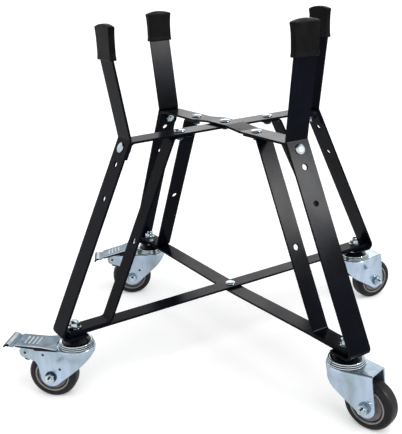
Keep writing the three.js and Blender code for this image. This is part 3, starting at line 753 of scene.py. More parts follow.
@dataclass
class FlatSteel:
    """The bent straps and bars, in the side view of a leg: x outward, z up."""

    site: Site
    thickness: float = 3.5
    gap: float = 0.3  # between pieces that are bolted together
    bend_radius: float = 6.0
    bend_steps: int = 5  # per radian of a bend
    edge: float = 0.55  # the rounding that the paint leaves on a rolled edge
    edge_angle: float = 38.0  # degrees, the smallest angle that counts as an edge
    outer_width: float = 38.0
    inner_width: float = 28.0
    top_width: float = 36.0
    base_width: float = 28.0
    knee: tuple[float, float] = (178.2, 386.5)
    ankle: tuple[float, float] = (316.3, 103.3)
    foot_length: float = 46.0
    arm_lean: float = 9.1
    arm_straight: float = 501.0
    arm_tip: float = 547.0
    inner_inset: float = 80.3
    inner_foot_end: float = 298.3
    flange_length: float = 33.0
    flange_bolt: float = 17.2
    top_height: float = 384.0
    top_tab: float = 28.0
    top_ramp: tuple[float, float] = (25.0, 65.0)
    base_top: float = 110.6
    base_end: float = 300.3
    base_ramp: tuple[float, float] = (35.0, 215.0)
    stem_place: float = 283.3
    waist_bolt: float = 13.5  # along the leg from the knee, as the holes below are
    open_holes: tuple[float, ...] = (39.0, 92.0)
    inner_hole: float = 177.0
    open_hole_size: float = 9.0
    waist_hole_size: float = 8.6
    flange_hole_size: float = 6.6
    stem_hole_size: float = 10.6
    drill_reach: float = 9.0  # of the drill, past each side of the hole's middle

    @property
    def step(self) -> float:
        """One strap's place in a stack."""
        return self.thickness + self.gap

    @property
    def down(self) -> Vector:
        """The direction down the leg."""
        return (Vector(self.ankle) - Vector(self.knee)).normalized()

    @property
    def out(self) -> Vector:
        """The direction square out of the leg."""
        return Vector((-self.down.y, self.down.x))

    @property
    def lean(self) -> float:
        """The angle of a hole through the leg, from upright."""
        return math.atan2(self.out.x, self.out.y)

    @property
    def arm_radius(self) -> float:
        """How far out the upright end of an arm stands."""
        rise = self.arm_straight - self.knee[1]
        return self.knee[0] + rise * math.tan(math.radians(self.arm_lean))

    def along(self, distance: float) -> Vector:
        """A point on the outer face of the leg."""
        return Vector(self.knee) + self.down * distance

    def leg_radius(self, height: float, inset: float = 0) -> float:
        """Where a line along the leg, moved in by a level inset, reaches a height."""
        return self.knee[0] + (height - self.knee[1]) * self.down.x / self.down.y - inset

    @property
    def flange_bend(self) -> float:
        """Where the inner leg bends into its flange."""
        return self.leg_radius(self.top_height - self.step, self.inner_inset)

    @property
    def inner_foot_top(self) -> float:
        """The upper face of the inner leg's foot."""
        return self.base_top + self.step

    def bar(self, name: str, path: Sequence[Sequence[float]], width: float) -> bpy.types.Object:
        """Bends a bar along a path, by extruding its section and spinning it round each bend.

        Args:
            name: The bar's name.
            path: Corners in the side view, along one face, with the steel on its right.
            width: The bar's width.

        Returns:
            The bar, in edit mode.
        """
        corners = [Vector(corner) for corner in path]
        ways = [(b - a).normalized() for a, b in zip(corners, corners[1:])]
        right = Vector((ways[0].y, -ways[0].x))
        bar = start(name, bpy.ops.mesh.primitive_plane_add, size=1)
        first = corners[0]
        place_vertices(
            bar,
            lambda v: (
                first.x + right.x * self.thickness * (v.x + 0.5),
                width * v.y,
                first.y + right.y * self.thickness * (v.x + 0.5),
            ),
        )
        reached = first
        for corner, way, next_way in zip(corners[1:], ways, ways[1:]):
            turned = math.atan2(way.x * next_way.y - way.y * next_way.x, way.dot(next_way))
            radius = self.bend_radius + (self.thickness if turned < 0 else 0)
            bend_start = corner - way * radius * math.tan(abs(turned) / 2)
            extrude_to((bend_start.x - reached.x, 0, bend_start.y - reached.y))
            centre = bend_start + Vector((-way.y, way.x)) * math.copysign(radius, turned)
            steps = max(1, round(self.bend_steps * abs(turned)))
            bpy.ops.mesh.spin(steps=steps, angle=turned, center=(centre.x, 0, centre.y), axis=(0, 1, 0))
            reached = corner + next_way * radius * math.tan(abs(turned) / 2)
        extrude_to((corners[-1].x - reached.x, 0, corners[-1].y - reached.y))
        return bar

    def drilled(
        self, bar: bpy.types.Object, holes: Sequence[tuple[Vector, float, float]] = ()
    ) -> bpy.types.Object:
        """Drills a bar and finishes its edges.

        Args:
            bar: The bar.
            holes: Each hole's place, its axis's angle from upright in radians, and its diameter.

        Returns:
            The finished bar.
        """
        for place, lean, diameter in holes:
            drill = cutter(diameter / 2, -self.drill_reach, self.drill_reach, 32)
            carve(bar, moved(drill, at(*place) @ Matrix.Rotation(lean, 4, "Y")))
        return finished(bar, self.edge, angle=self.edge_angle)

    def outer_leg(self) -> bpy.types.Object:
        """Bends and drills the strap that runs from the cap down to the foot.

        Returns:
            The strap.
        """
        path = [
            (self.arm_radius, self.arm_tip),
            (self.arm_radius, self.arm_straight),
            self.knee,
            self.ankle,
            (self.ankle[0] - self.foot_length, self.ankle[1]),
        ]
        holes = [(self.along(distance), self.lean, self.open_hole_size) for distance in self.open_holes]
        holes.append((self.along(self.waist_bolt), self.lean, self.waist_hole_size))
        holes.append((Vector((self.stem_place, self.ankle[1])), 0, self.stem_hole_size))
        return self.drilled(self.bar("outer leg", path, self.outer_width), holes)

    def inner_leg(self) -> bpy.types.Object:
        """Bends and drills the brace inside the outer strap.

        Returns:
            The brace.
        """
        flange = self.top_height - self.step
        foot = self.inner_foot_top
        path = [
            (self.flange_bend - self.flange_length, flange),
            (self.flange_bend, flange),
            (self.leg_radius(foot, self.inner_inset), foot),
            (self.inner_foot_end, foot),
        ]
        hole = self.along(self.inner_hole) - Vector((self.inner_inset, 0))
        holes = [
            (hole, self.lean, self.open_hole_size),
            (Vector((self.flange_bend - self.flange_bolt, flange)), 0, self.flange_hole_size),
            (Vector((self.stem_place, foot)), 0, self.stem_hole_size),
        ]
        return self.drilled(self.bar("inner leg", path, self.inner_width), holes)

    def mirrored(self, right_half: Profile) -> list[Pair]:
        """Both halves of a path that crosses the stand."""
        return [(-x, z) for x, z in reversed(right_half)] + list(right_half)

    def stepped(self, rise: float, height: float, ramp: Pair) -> list[Pair]:
        """The corners of a bar's rise over, or dip under, the one it crosses."""
        return [(ramp[0], height + rise), (ramp[1], height)] if rise else []

    def top_bar(self, rise: float) -> bpy.types.Object:
        """Bends a top bar with its two turned-down tabs.

        Args:
            rise: How far its middle is joggled up.

        Returns:
            The bar.
        """
        tab = self.along(self.top_tab) - self.out * self.step
        corner = (self.leg_radius(self.top_height, self.step / self.out.x), self.top_height)
        path = [*self.stepped(rise, self.top_height, self.top_ramp), corner, (tab.x, tab.y)]
        return self.drilled(self.bar("top bar", self.mirrored(path), self.top_width))

    def base_bar(self, rise: float) -> bpy.types.Object:
        """A base bar from foot to foot, its middle joggled up by the rise."""
        path = [*self.stepped(rise, self.base_top, self.base_ramp), (self.base_end, self.base_top)]
        return self.drilled(self.bar("base bar", self.mirrored(path), self.base_width))

    def build(self) -> None:
        """Models the straps and sets them out."""
        finish = "gloss_powder_coat"
        masters = {"outer": self.outer_leg(), "inner": self.inner_leg()}
        for corner in self.site.corners:
            for part, master in masters.items():
                node = f"{part}_strap_{corner.name}"
                self.site.set_out(master, f"{part}_leg_{corner.name}", corner.leg, node, finish)
        bars = {
            "top_bar_lower": (self.top_bar(0), 45),
            "top_bar_upper": (self.top_bar(self.step), -45),
            "base_bar_upper": (self.base_bar(0), 45),
            "base_bar_lower": (self.base_bar(-self.step), -45),
        }
        for node, (master, angle) in bars.items():
            place = self.site.middle @ rotation(angle, "Z")
            self.site.set_out(master, f"{node}_strap", place, node, finish)
            masters[node] = master
        clear_away(*masters.values())


@dataclass
class EndCaps:
    """The moulded caps on the arms."""

    site: Site
    steel: FlatSteel
    mouth: float = 1.0  # how far the cap's stations start above the arm's upper bend
    crown: float = 4.0
    crown_fall: float = 0.12  # the share of the crown that is lost towards the cap's two faces
    corner: float = 2.4
    bands: int = 10  # across the cap's width, so that its top can be crowned
    # Height above the cap's mouth, half width and half depth.
    stations: tuple[tuple[float, float, float], ...] = (
        (-0.6, 20.9, 4.9),
        (0.3, 21.3, 5.25),
        (3.2, 21.3, 5.2),
        (5.0, 20.8, 4.95),
        (12.0, 20.7, 4.85),
        (24.0, 20.7, 4.85),
        (32.0, 21.0, 4.95),
        (38.0, 21.5, 5.05),
        (42.0, 22.2, 5.2),
        (44.6, 22.5, 5.2),
        (45.6, 21.9, 4.7),
    )

    def cap(self) -> bpy.types.Object:
        """Models a cap by extruding its section upward, with the arm's slot cut out of it.

        Returns:
            The cap, in the leg's frame.
        """
        mouth = self.steel.arm_straight + self.mouth
        grid = {"x_subdivisions": 2, "y_subdivisions": self.bands, "size": 2}
        cap = start("end cap", bpy.ops.mesh.primitive_grid_add, **grid)
        height, wide, deep = self.stations[0]
        place_vertices(cap, lambda v: (v.x * deep, v.y * wide, mouth + height))
        for next_height, next_wide, next_deep in self.stations[1:]:
            extrude_to((0, 0, next_height - height))
            scale = (next_deep / deep, next_wide / wide, 1)
            bpy.ops.transform.resize(value=scale, center_override=(0, 0, mouth + next_height))
            height, wide, deep = next_height, next_wide, next_deep
        place_vertices(cap, lambda v: (v.x, v.y, v.z + self.crown * self.rise(v, wide, deep)))
        finished(cap, self.corner, 3, 60)
        only(cap)
        smooth = cap.modifiers.new("soft moulding", "SUBSURF")
        smooth.levels = smooth.render_levels = 1
        bpy.ops.object.modifier_apply(modifier=smooth.name)
        slot = start("slot", bpy.ops.mesh.primitive_cube_add, size=2)
        half_thick = self.steel.thickness / 2 + self.steel.gap
        half_wide = self.steel.outer_width / 2 + self.steel.gap
        depth = self.steel.arm_tip + self.steel.gap - mouth
        place_vertices(slot, lambda v: (v.x * half_thick, v.y * half_wide, mouth + v.z * depth))
        carve(cap, slot)
        shade(cap, 40)
        return moved(cap, Matrix.Translation((self.steel.arm_radius - self.steel.thickness / 2, 0, 0)))

    def rise(self, place: Vector, wide: float, deep: float) -> float:
        """How much of the crown a point on the cap's top has."""
        return max(0.0, 1 - (place.y / wide) ** 2) * (1 - self.crown_fall * (place.x / deep) ** 2)

    def build(self) -> None:
        """Models the cap and sets out four."""
        cap = self.cap()
        for corner in self.site.corners:
            node = f"end_cap_{corner.name}"
            self.site.set_out(cap, f"arm_cap_{corner.name}", corner.leg, node, "dip_moulded_vinyl")
        clear_away(cap)


# ------------------------------------------------------------------ bolts and nuts


def hex_blank(name: str, across_flats: float, height: float, chamfer: float = 0.07) -> bpy.types.Object:
    """A hexagon on the Z axis, its corners turned off by a cone at the top.

    Args:
        name: The piece's name.
        across_flats: The hexagon's size.
        height: Its height.
        chamfer: How much is turned off, as a share of the size.

    Returns:
        The piece, in object mode.
    """
    corner = across_flats / math.sqrt(3)
    clear = corner + 0.1
    off = across_flats * chamfer
    blank = turn(name, [(corner, 0), (corner, height)], 6)
    cone = turn("cone", [(clear, -1), (clear, height - off), (corner - 2 * off, height)])
    return carve(blank, cone, "INTERSECT")


def thread(radius: float, bottom: float, top: float, pitch: float = 1.25) -> list[Pair]:
    """Gives the stations of a threaded end, from its bottom to its chamfered top.

    Args:
        radius: The thread's radius over its crests.
        bottom: Its lower end.
        top: Its upper end.
        pitch: About how far apart its crests are.

    Returns:
        The stations, as (radius, height).
    """
    root, chamfer = radius * 0.88, radius * 0.86
    turns = max(1, round((top - bottom) / pitch))
    pitch = (top - bottom) / turns
    stations = [(radius, bottom)]
    for i in range(turns):
        stations.append((root, bottom + (i + 0.5) * pitch))
        stations.append((radius if i < turns - 1 else chamfer, bottom + (i + 1) * pitch))
    return stations


@dataclass(frozen=True)
class BoltSize:
    """A bolt with a low, round mushroom head, and its hex nut, in millimetres."""

    diameter: float
    head: float  # the head's diameter
    across_flats: float
    nut: float  # the nut's height
    tail: float  # the length of thread past the nut
    clearance: float = 0.3  # between the nut's bore and the thread
    # The head's stations: how far in from its rim, and how high.
    dome: tuple[Pair, ...] = (
        (0.3, 0.0),
        (0.0, 0.4),
        (0.1, 0.9),
        (0.5, 1.5),
        (1.3, 2.0),
        (2.6, 2.35),
        (4.4, 2.55),
        (7.2, 2.65),
    )

    def bolt(self, grip: float) -> bpy.types.Object:
        """Models the bolt, pointing down, with the underside of its head at zero.

        Args:
            grip: The thickness that it holds together.

        Returns:
            The bolt.
        """
        radius, rim = self.diameter / 2, self.head / 2
        end = grip + self.nut
        head = turn("bolt", [(rim - inward, height) for inward, height in self.dome], 40)
        stations = [(radius, -0.4), (radius, end - 0.5), *thread(radius, end, end + self.tail)]
        shank = moved(turn("shank", stations, 24), OVER)
        return united("bolt", finished(head, angle=50), finished(shank))

    def hex_nut(self) -> bpy.types.Object:
        """Models the nut, hanging from zero.

        Returns:
            The nut.
        """
        nut = hex_blank("nut", self.across_flats, self.nut)
        carve(nut, cutter(self.diameter / 2 + self.clearance, -1, self.nut + 1))
        return finished(moved(nut, OVER), 0.2, 1)


@dataclass
class Fasteners:
    """The bolts and nuts of the frame."""

    site: Site
    steel: FlatSteel
    waist: BoltSize = BoltSize(8, 15.5, 13, 6.5, 2)
    small: BoltSize = BoltSize(6, 16.6, 10, 5, 1)
    stem_nut_flats: float = 15.0
    stem_nut_height: float = 9.0
    stem_nut_chamfer: float = 0.06  # as a share of the size across its flats
    stem_nut_flange: float = 20.0
    stem_nut_bore: float = 10.6

    def stem_nut(self) -> bpy.types.Object:
        """Models the flange nut that holds a caster, standing on zero.

        Returns:
            The nut.
        """
        nut = hex_blank("stem nut", self.stem_nut_flats, self.stem_nut_height, self.stem_nut_chamfer)
        rim = self.stem_nut_flange / 2
        flange = turn("flange", [(rim - 0.3, 0), (rim, 0.4), (rim, 1.1), (rim - 1.9, 2.6)], 40)
        for piece in (nut, flange):
            carve(piece, cutter(self.stem_nut_bore / 2, -1, self.stem_nut_height + 1))
        return united("stem nut", finished(nut, 0.25), finished(flange, 0.2))

    def build(self) -> None:
        """Models each fastener once and sets them out."""
        steel = self.steel
        grip = 2 * steel.step + steel.gap
        bolts = {"waist": self.waist.bolt(grip), "flange": self.small.bolt(grip)}
        nuts = {"waist": self.waist.hex_nut(), "flange": self.small.hex_nut()}
        stem_nut = self.stem_nut()
        tilt = Matrix.Rotation(steel.lean, 4, "Y")
        waist = steel.along(steel.waist_bolt)
        head, foot = waist + steel.out * steel.gap, waist - steel.out * 2 * steel.step
        flange = steel.flange_bend - steel.flange_bolt
        top = steel.top_height
        places = {
            ("waist", "bolt"): at(*head) @ tilt,
            ("waist", "nut"): at(*foot) @ tilt,
            ("flange", "bolt"): at(flange, top + steel.gap),
            ("flange", "nut"): at(flange, top - 2 * steel.step),
        }
        for corner in self.site.corners:
            for (where, what), place in places.items():
                master = (bolts if what == "bolt" else nuts)[where]
                node = f"{where}_{what}_{corner.name}"
                finish = "black_oxide_steel" if (where, what) == ("flange", "nut") else "blue_zinc_plate"
                self.site.set_out(master, f"frame_{node}", corner.leg @ place, node, finish)
            place = corner.leg @ at(steel.stem_place, steel.inner_foot_top + steel.gap)
            node = f"stem_nut_{corner.name}"
            self.site.set_out(stem_nut, f"frame_{node}", place, node, "blue_zinc_plate")
        for where, height in (("top", top + steel.step), ("base", steel.base_top)):
            pair = {
                "bolt": (steel.gap, bolts["flange"], "blue_zinc_plate"),
                "nut": (-2 * steel.step, nuts["flange"], "black_oxide_steel"),
            }
            for what, (rise, master, finish) in pair.items():
                node = f"{where}_centre_{what}"
                place = self.site.middle @ at(0, height + rise)
                self.site.set_out(master, f"frame_{node}", place, node, finish)
        clear_away(*bolts.values(), *nuts.values(), stem_nut)


# ------------------------------------------------------------------ casters


@dataclass(frozen=True)
class CasterPlan:
    """What a caster's pieces share, in its side view: x away from the stem, z up from the floor."""

    axle: Pair = (40.0, 37.5)
    pin: Pair = (77.0, 77.6)
    wheel_radius: float = 37.5

    @property
    def on_axle(self) -> Matrix:
        """Takes a piece that was modelled on the Z axis to the axle."""
        return at(*self.axle) @ ON_ITS_SIDE

    @property
    def on_pin(self) -> Matrix:
        """Takes a piece that was modelled on the Z axis to the pedal's pin."""
        return at(*self.pin) @ ON_ITS_SIDE


@dataclass
class SwivelHead:
    """The dished rings that turn on the fork, with the threaded stem and the riveted kingpin."""

    site: Site
    seat: float = 103.0  # of the stem, above the floor
    stem_top: float = 126.7
    stem_radius: float = 5.0
    stem_plain: float = 13.0  # from the seat up to the thread
    stem_pitch: float = 1.5
    sides: int = 64
    # The kingpin under the fork, as (radius, height above the fork's top).
    kingpin: tuple[Pair, ...] = (
        (8.6, -6.4),
        (9.6, -5.9),
        (10.0, -5.0),
        (10.0, -3.3),
        (6.0, -3.3),
        (6.0, 0.3),
    )
    # Each groove's radius, and its bottom and top above the fork.
    grooves: tuple[tuple[float, float, float], ...] = (
        (25.0, 0.3, 0.9),
        (24.4, 2.4, 3.6),
        (23.6, 5.0, 6.2),
    )
    # The ring over each groove. Its face leans back a little, so that it mirrors the pale surround.
    rings: tuple[tuple[Pair, ...], ...] = (
        ((27.4, 1.0), (27.5, 1.2), (27.15, 2.1), (26.8, 2.35)),
        ((26.5, 3.6), (26.6, 3.8), (26.25, 4.7), (25.9, 4.95)),
        ((25.7, 6.2), (25.8, 6.4), (25.45, 7.4), (25.0, 7.85)),
    )
    # The dish inside the upper ring.
    dish: tuple[Pair, ...] = ((24.3, 8.0), (23.3, 7.9), (22.2, 7.1), (20.8, 6.7), (19.0, 7.2))
    # The boss under the stem's shoulder, as (radius, height above the seat).
    boss: tuple[Pair, ...] = ((12.8, -3.0), (12.1, -2.2), (12.0, -0.3), (11.7, 0.0))

    def head(self, fork_top: float) -> bpy.types.Object:
        """Models a head with its kingpin and stem.

        Args:
            fork_top: The height of the fork's top.

        Returns:
            The head, in the caster's frame.
        """
        on_fork = [*self.kingpin]
        for (groove, bottom, top), ring in zip(self.grooves, self.rings):
            on_fork += [(groove, bottom), (groove, top), *ring]
        on_fork += self.dish
        stem = [(self.stem_radius, 0.0), (self.stem_radius, self.stem_plain - 0.4)]
        stations = [(radius, fork_top + height) for radius, height in on_fork]
        stations += [(radius, self.seat + height) for radius, height in [*self.boss, *stem]]
        stations += thread(self.stem_radius, self.seat + self.stem_plain, self.stem_top, self.stem_pitch)
        return finished(turn("swivel head", stations, self.sides), angle=28)

    def seals(self, fork_top: float) -> bpy.types.Object:
        """Models dark rings in the grooves of a head: painted shade in the gaps between its rings.

        Args:
            fork_top: The height of the fork's top.

        Returns:
            The seals, in the caster's frame.
        """
        seals = []
        for groove, bottom, top in self.grooves:
            low, high = fork_top + bottom, fork_top + top
            inner, outer = groove + 0.1, groove + 2.0
            ring = [(inner, low + 0.05), (outer, low + 0.02), (outer, high - 0.02), (inner, high - 0.05)]
            seals.append(finished(turn("seal", ring, self.sides, hollow=True)))
        return united("seals", *seals)

    def dust_seal(self, fork_top: float) -> bpy.types.Object:
        """Models a dark skin in the dish of a head, round the boss of the stem: painted shade and painted
        reflection of the dark foot above.

        Args:
            fork_top: The height of the fork's top.

        Returns:
            The seal, in the caster's frame.
        """
        upper = [(19.2, 7.4), (20.8, 6.95), (22.0, 7.3)]
        lower = [(21.8, 6.8), (20.8, 6.5), (18.8, 7.0)]
        in_dish = [(radius, fork_top + height) for radius, height in upper + lower]
        stations = [(13.0, self.seat - 2.8), *in_dish, (12.6, self.seat - 3.3)]
        return finished(turn("dust seal", stations, self.sides, hollow=True))

    def build(self) -> None:
        """Models both heads with the painted shade in their grooves and dish, and sets out four."""
        makers = {
            "zinc_swivel_head": (self.head, "blue_zinc_plate"),
            # The grooves' dark rings and the dish's dark skin are painted shade.
            "race_seals": (self.seals, "race_grease"),
            "dust_seal": (self.dust_seal, "black_nitrile_seal"),
        }
        for kind in CasterKind:
            for name, (make, finish) in makers.items():
                master = make(ForkShape.of(kind).top)
                for corner in self.site.corners:
                    if corner.kind is kind:
                        node = f"swivel_head_{corner.name}"
                        self.site.set_out(master, f"{name}_{corner.name}", corner.caster, node, finish)
                clear_away(master)


@dataclass(frozen=True)
class ForkShape:
    """The sizes of a fork: its top, the reach of its toe, and its ears."""

    top: float  # the height of its top face
    toe: float  # how far the toe reaches on the stem's other side
    ears: bool
    front_drop: float  # how far the front edge runs down before it curves back
    eye: float  # radius of a cheek's round end, at the axle
    ring: float = 28.5  # radius of the round front
    ring_edge: float = 5.5  # from the top down to the edge of the round front
    sheet: float = 2.5
    half: float = 17.0  # from the middle to the outside of a cheek
    flare: float = 0.7  # of the top over the cheeks, at the heel
    heel: float = 50.0  # how far back the top reaches
    shoulder: float = 58.0  # the height of the toe
    toe_share: float = 0.57  # how far the leading edge's handle lies towards the toe
    plan: CasterPlan = CasterPlan()
    ear: float = 9.5
    # The ear's upper edge, past the heel and below the top, then its lower edge from the heel on,
    # and then the directions of its round end in degrees.
    ear_neck: tuple[Pair, ...] = ((1.5, 2.6), (8.0, 2.0))
    ear_root: tuple[Pair, ...] = ((57.4, 47.0), (59.0, 56.0), (62.5, 62.6), (69.0, 65.6))
    ear_over: tuple[int, ...] = (108, 84, 60, 36, 14)
    ear_under: tuple[int, ...] = (-84, -56, -24)
    dimples: tuple[Pair, ...] = ((49.0, 74.8), (24.7, 51.0))
    dimple_size: float = 4.4
    kingpin_hole: float = 12.6
    fold: float = 3.2  # radius of the fold between the top and the cheeks
    front_columns: int = 16
    side_columns: int = 14
    nose_columns: int = 9  # over which the lower edge comes in from the cheek to the middle
    edge_steps: int = 12
    eye_steps: int = 16

    @classmethod
    def of(cls, kind: CasterKind) -> "ForkShape":
        """Gives the sizes for a kind of caster.

        Args:
            kind: The kind.

        Returns:
            The sizes.
        """
        if kind is CasterKind.BRAKED:
            return cls(top=86.2, toe=11, ears=True, front_drop=12, eye=16.2)
        return cls(top=89.0, toe=14, ears=False, front_drop=30, eye=15.2)

    def columns(self) -> list[tuple[Vector, Vector]]:
        """Pairs the two edges of one cheek, from the middle of the front to the heel or the ear's tip.

        Returns:
            The pairs, as (upper, lower).
        """
        upper = self.upper_edge()
        pairs = []
        for i, (high, low) in enumerate(zip(upper, resampled(self.lower_edge(), len(upper)))):
            share = min(1.0, i / self.nose_columns)
            pairs.append((high, Vector((low.x, self.half * math.sin(share * math.pi / 2), low.y))))
        return pairs + (self.ear_columns() if self.ears else [])

    def upper_edge(self) -> list[Vector]:
        """Follows the top's edge: round the front, then straight on, touching the round, to the heel.

        Returns:
            The points.
        """
        aim = Vector((self.heel + 3, self.half))
        tangent = aim.to_2d().angle_signed(Vector((1, 0))) + math.acos(self.ring / aim.length)
        points = []
        for i in range(self.front_columns + 1):
            angle = math.pi + (tangent - math.pi) * i / self.front_columns
            points.append(Vector((self.ring * math.cos(angle), self.ring * math.sin(angle), self.top)))
        leave = points[-1]
        for i in range(1, self.side_columns + 1):
            share = i / self.side_columns
            x = leave.x + (self.heel - leave.x) * share
            y = leave.y + (self.half + self.flare - leave.y) * share
            points.append(Vector((x, y, self.top)))
        return points

    def lower_edge(self) -> list[Vector]:
        """Follows a cheek's edge in the side view: down the front and the toe, then round the eye.

        Returns:
            The points.
        """
        toe, axle = Vector((-self.toe, self.shoulder)), Vector(self.plan.axle)
        to_toe = toe - axle
        eye_start = math.atan2(to_toe.y, to_toe.x) + math.acos(self.eye / to_toe.length)
        eye_end = 2 * math.pi
        front = Vector((-self.ring + 0.3, self.top - self.ring_edge))
        leave = front - Vector((0, self.front_drop))
        touch = axle + self.eye * Vector((math.cos(eye_start), math.sin(eye_start)))
        edge = curve(front, leave, touch.lerp(toe, self.toe_share), touch, self.edge_steps)
        for i in range(1, self.eye_steps + 1):
            angle = eye_start + (eye_end - eye_start) * i / self.eye_steps
            edge.append(axle + self.eye * Vector((math.cos(angle), math.sin(angle))))
        return edge

    def ear_columns(self) -> list[tuple[Vector, Vector]]:
        """Pairs the two edges past the heel, out to the tip of an ear.

        Returns:
            The pairs, as (upper, lower).
        """
        pin = Vector(self.plan.pin)
        upper = [Vector((self.heel + past, self.top - below)) for past, below in self.ear_neck]
        upper += [pin + self.ear * direction(angle) for angle in self.ear_over]
        lower = [Vector(point) for point in self.ear_root]
        lower += [pin + self.ear * direction(angle) for angle in self.ear_under]
        pairs = zip(upper, lower)
        return [(Vector(unpack(high, self.half)), Vector(unpack(low, self.half))) for high, low in pairs]


def curve(start_point: Vector, leave: Vector, arrive: Vector, end: Vector, steps: int) -> list[Vector]:
    """Gives points along a cubic curve.

    Args:
        start_point: Where it starts.
        leave: The handle that it leaves towards.
        arrive: The handle that it arrives from.
        end: Where it ends.
        steps: How many steps it takes.

    Returns:
        The points, with both ends.
    """
    points = []
    for i in range(steps + 1):
        t = i / steps
        u = 1 - t
        points.append(start_point * u**3 + leave * 3 * u * u * t + arrive * 3 * u * t * t + end * t**3)
    return points


def direction(degrees: float) -> Vector:
    """A unit vector in the side view."""
    return Vector((math.cos(math.radians(degrees)), math.sin(math.radians(degrees))))


def resampled(line: Sequence[Vector], count: int) -> list[Vector]:
    """Gives points evenly spaced along a line.

    Args:
        line: The line's points.
        count: How many points to return.

    Returns:
        The points, with both ends.
    """
    lengths = [0.0]
    for a, b in zip(line, line[1:]):
        lengths.append(lengths[-1] + (b - a).length)
    points = []
    for i in range(count):
        want = lengths[-1] * i / (count - 1)
        j = max(k for k in range(len(line) - 1) if lengths[k] <= want + 1e-9)
        share = (want - lengths[j]) / (lengths[j + 1] - lengths[j])
        points.append(line[j].lerp(line[j + 1], min(1.0, share)))
    return points


@dataclass
class Forks:
    """The pressed forks: a round top that folds down into two flat cheeks."""

    site: Site
    rows: int = 18
    fold_rows: int = 4

    def fork(self, shape: ForkShape) -> bpy.types.Object:
        """Models a fork from a grid that is drawn round its cheeks, capped, folded and given its sheet.

        Args:
            shape: The fork's sizes.

        Returns:
            The fork.
        """
        half = shape.columns()
        wing = [(Vector((a.x, -a.y, a.z)), Vector((b.x, -b.y, b.z))) for a, b in reversed(half[1:])]
        columns = wing + half
        grid = {"x_subdivisions": len(columns) - 1, "y_subdivisions": self.rows, "size": 2}
        fork = start("fork", bpy.ops.mesh.primitive_grid_add, **grid)
        place_vertices(fork, lambda v: self.drawn(shape, columns, v))
        # The rim of the top is selected and filled.
        bpy.ops.mesh.select_mode(type="VERT")
        bpy.ops.mesh.select_all(action="DESELECT")
        mesh = bmesh.from_edit_mesh(fork.data)
        for vertex in mesh.verts:
            vertex.select = vertex.co.z > shape.top - 0.001
        mesh.select_flush(True)
        bmesh.update_edit_mesh(fork.data)
        bpy.ops.mesh.edge_face_add()
        bpy.ops.mesh.select_all(action="SELECT")
        bpy.ops.mesh.normals_make_consistent(inside=False)
        only(fork)
        self.face_out(fork)
        wall = fork.modifiers.new("sheet", "SOLIDIFY")
        wall.thickness = shape.sheet
        wall.offset = -1
        wall.use_even_offset = True
        bpy.ops.object.modifier_apply(modifier=wall.name)
        carve(fork, cutter(shape.kingpin_hole / 2, shape.top - 20, shape.top + 5, 32))
        if shape.ears:
            for dimple in shape.dimples:
                tool = cutter(shape.dimple_size / 2, -30, 30, 20)
                carve(fork, moved(tool, at(*dimple) @ ON_ITS_SIDE))
        return finished(fork, 0.5, angle=50)

    def drawn(self, shape: ForkShape, columns: list[tuple[Vector, Vector]], place: Vector) -> Vector:
        """Says where a point of the flat grid goes on the drawn sheet.

        Args:
            shape: The fork's sizes.
            columns: The pairs of upper and lower points round both cheeks.
            place: The point on the grid, which spans -1 to 1 each way.

        Returns:
            Its place, in the caster's frame.
        """
        column = round((place.x + 1) / 2 * (len(columns) - 1))
        row = round((1 - place.y) / 2 * self.rows)
        high, low = columns[column]
        fold = shape.fold if high.z > shape.top - 0.01 else 0.0
        if fold and row < self.fold_rows:
            before, after = columns[max(column - 1, 0)][0], columns[min(column + 1, len(columns) - 1)][0]
            out = Vector((before.y - after.y, after.x - before.x, 0)).normalized()
            bent = math.pi / 2 * row / self.fold_rows
            return high + out * fold * (math.sin(bent) - 1) - Vector((0, 0, fold * (1 - math.cos(bent))))
        high = high - Vector((0, 0, fold))
        down = (row - self.fold_rows) / (self.rows - self.fold_rows) if fold else row / self.rows
        point = high.lerp(low, down)
        flat = max(low.z, shape.shoulder)
        share = min(1.0, (shape.top - point.z) / max(0.1, shape.top - flat)) if fold else 1.0
        ease = share * share * (3 - 2 * share)
        point.y = high.y + (low.y - high.y) * ease
        return point

    def face_out(self, fork: bpy.types.Object) -> None:
        """Turns the sheet over if its top faces down.

        Args:
            fork: The fork's sheet, in object mode.
        """
        top = max(fork.data.polygons, key=lambda face: face.center.z)
        if top.normal.z < 0:
            fork.data.flip_normals()

    def build(self) -> None:
        """Models both forks and sets out four."""
        masters = {kind: self.fork(ForkShape.of(kind)) for kind in CasterKind}
        for corner in self.site.corners:
            node = f"fork_{corner.name}"
            master, finish = masters[corner.kind], "zinc_on_pressed_sheet"
            self.site.set_out(master, f"pressed_{node}", corner.caster, node, finish)
        clear_away(*masters.values())


def both_ways(half: Profile) -> list[Pair]:
    """A profile that goes on, mirrored, to the other side of zero."""
    return [*half, *[(radius, -height) for radius, height in reversed(half)]]


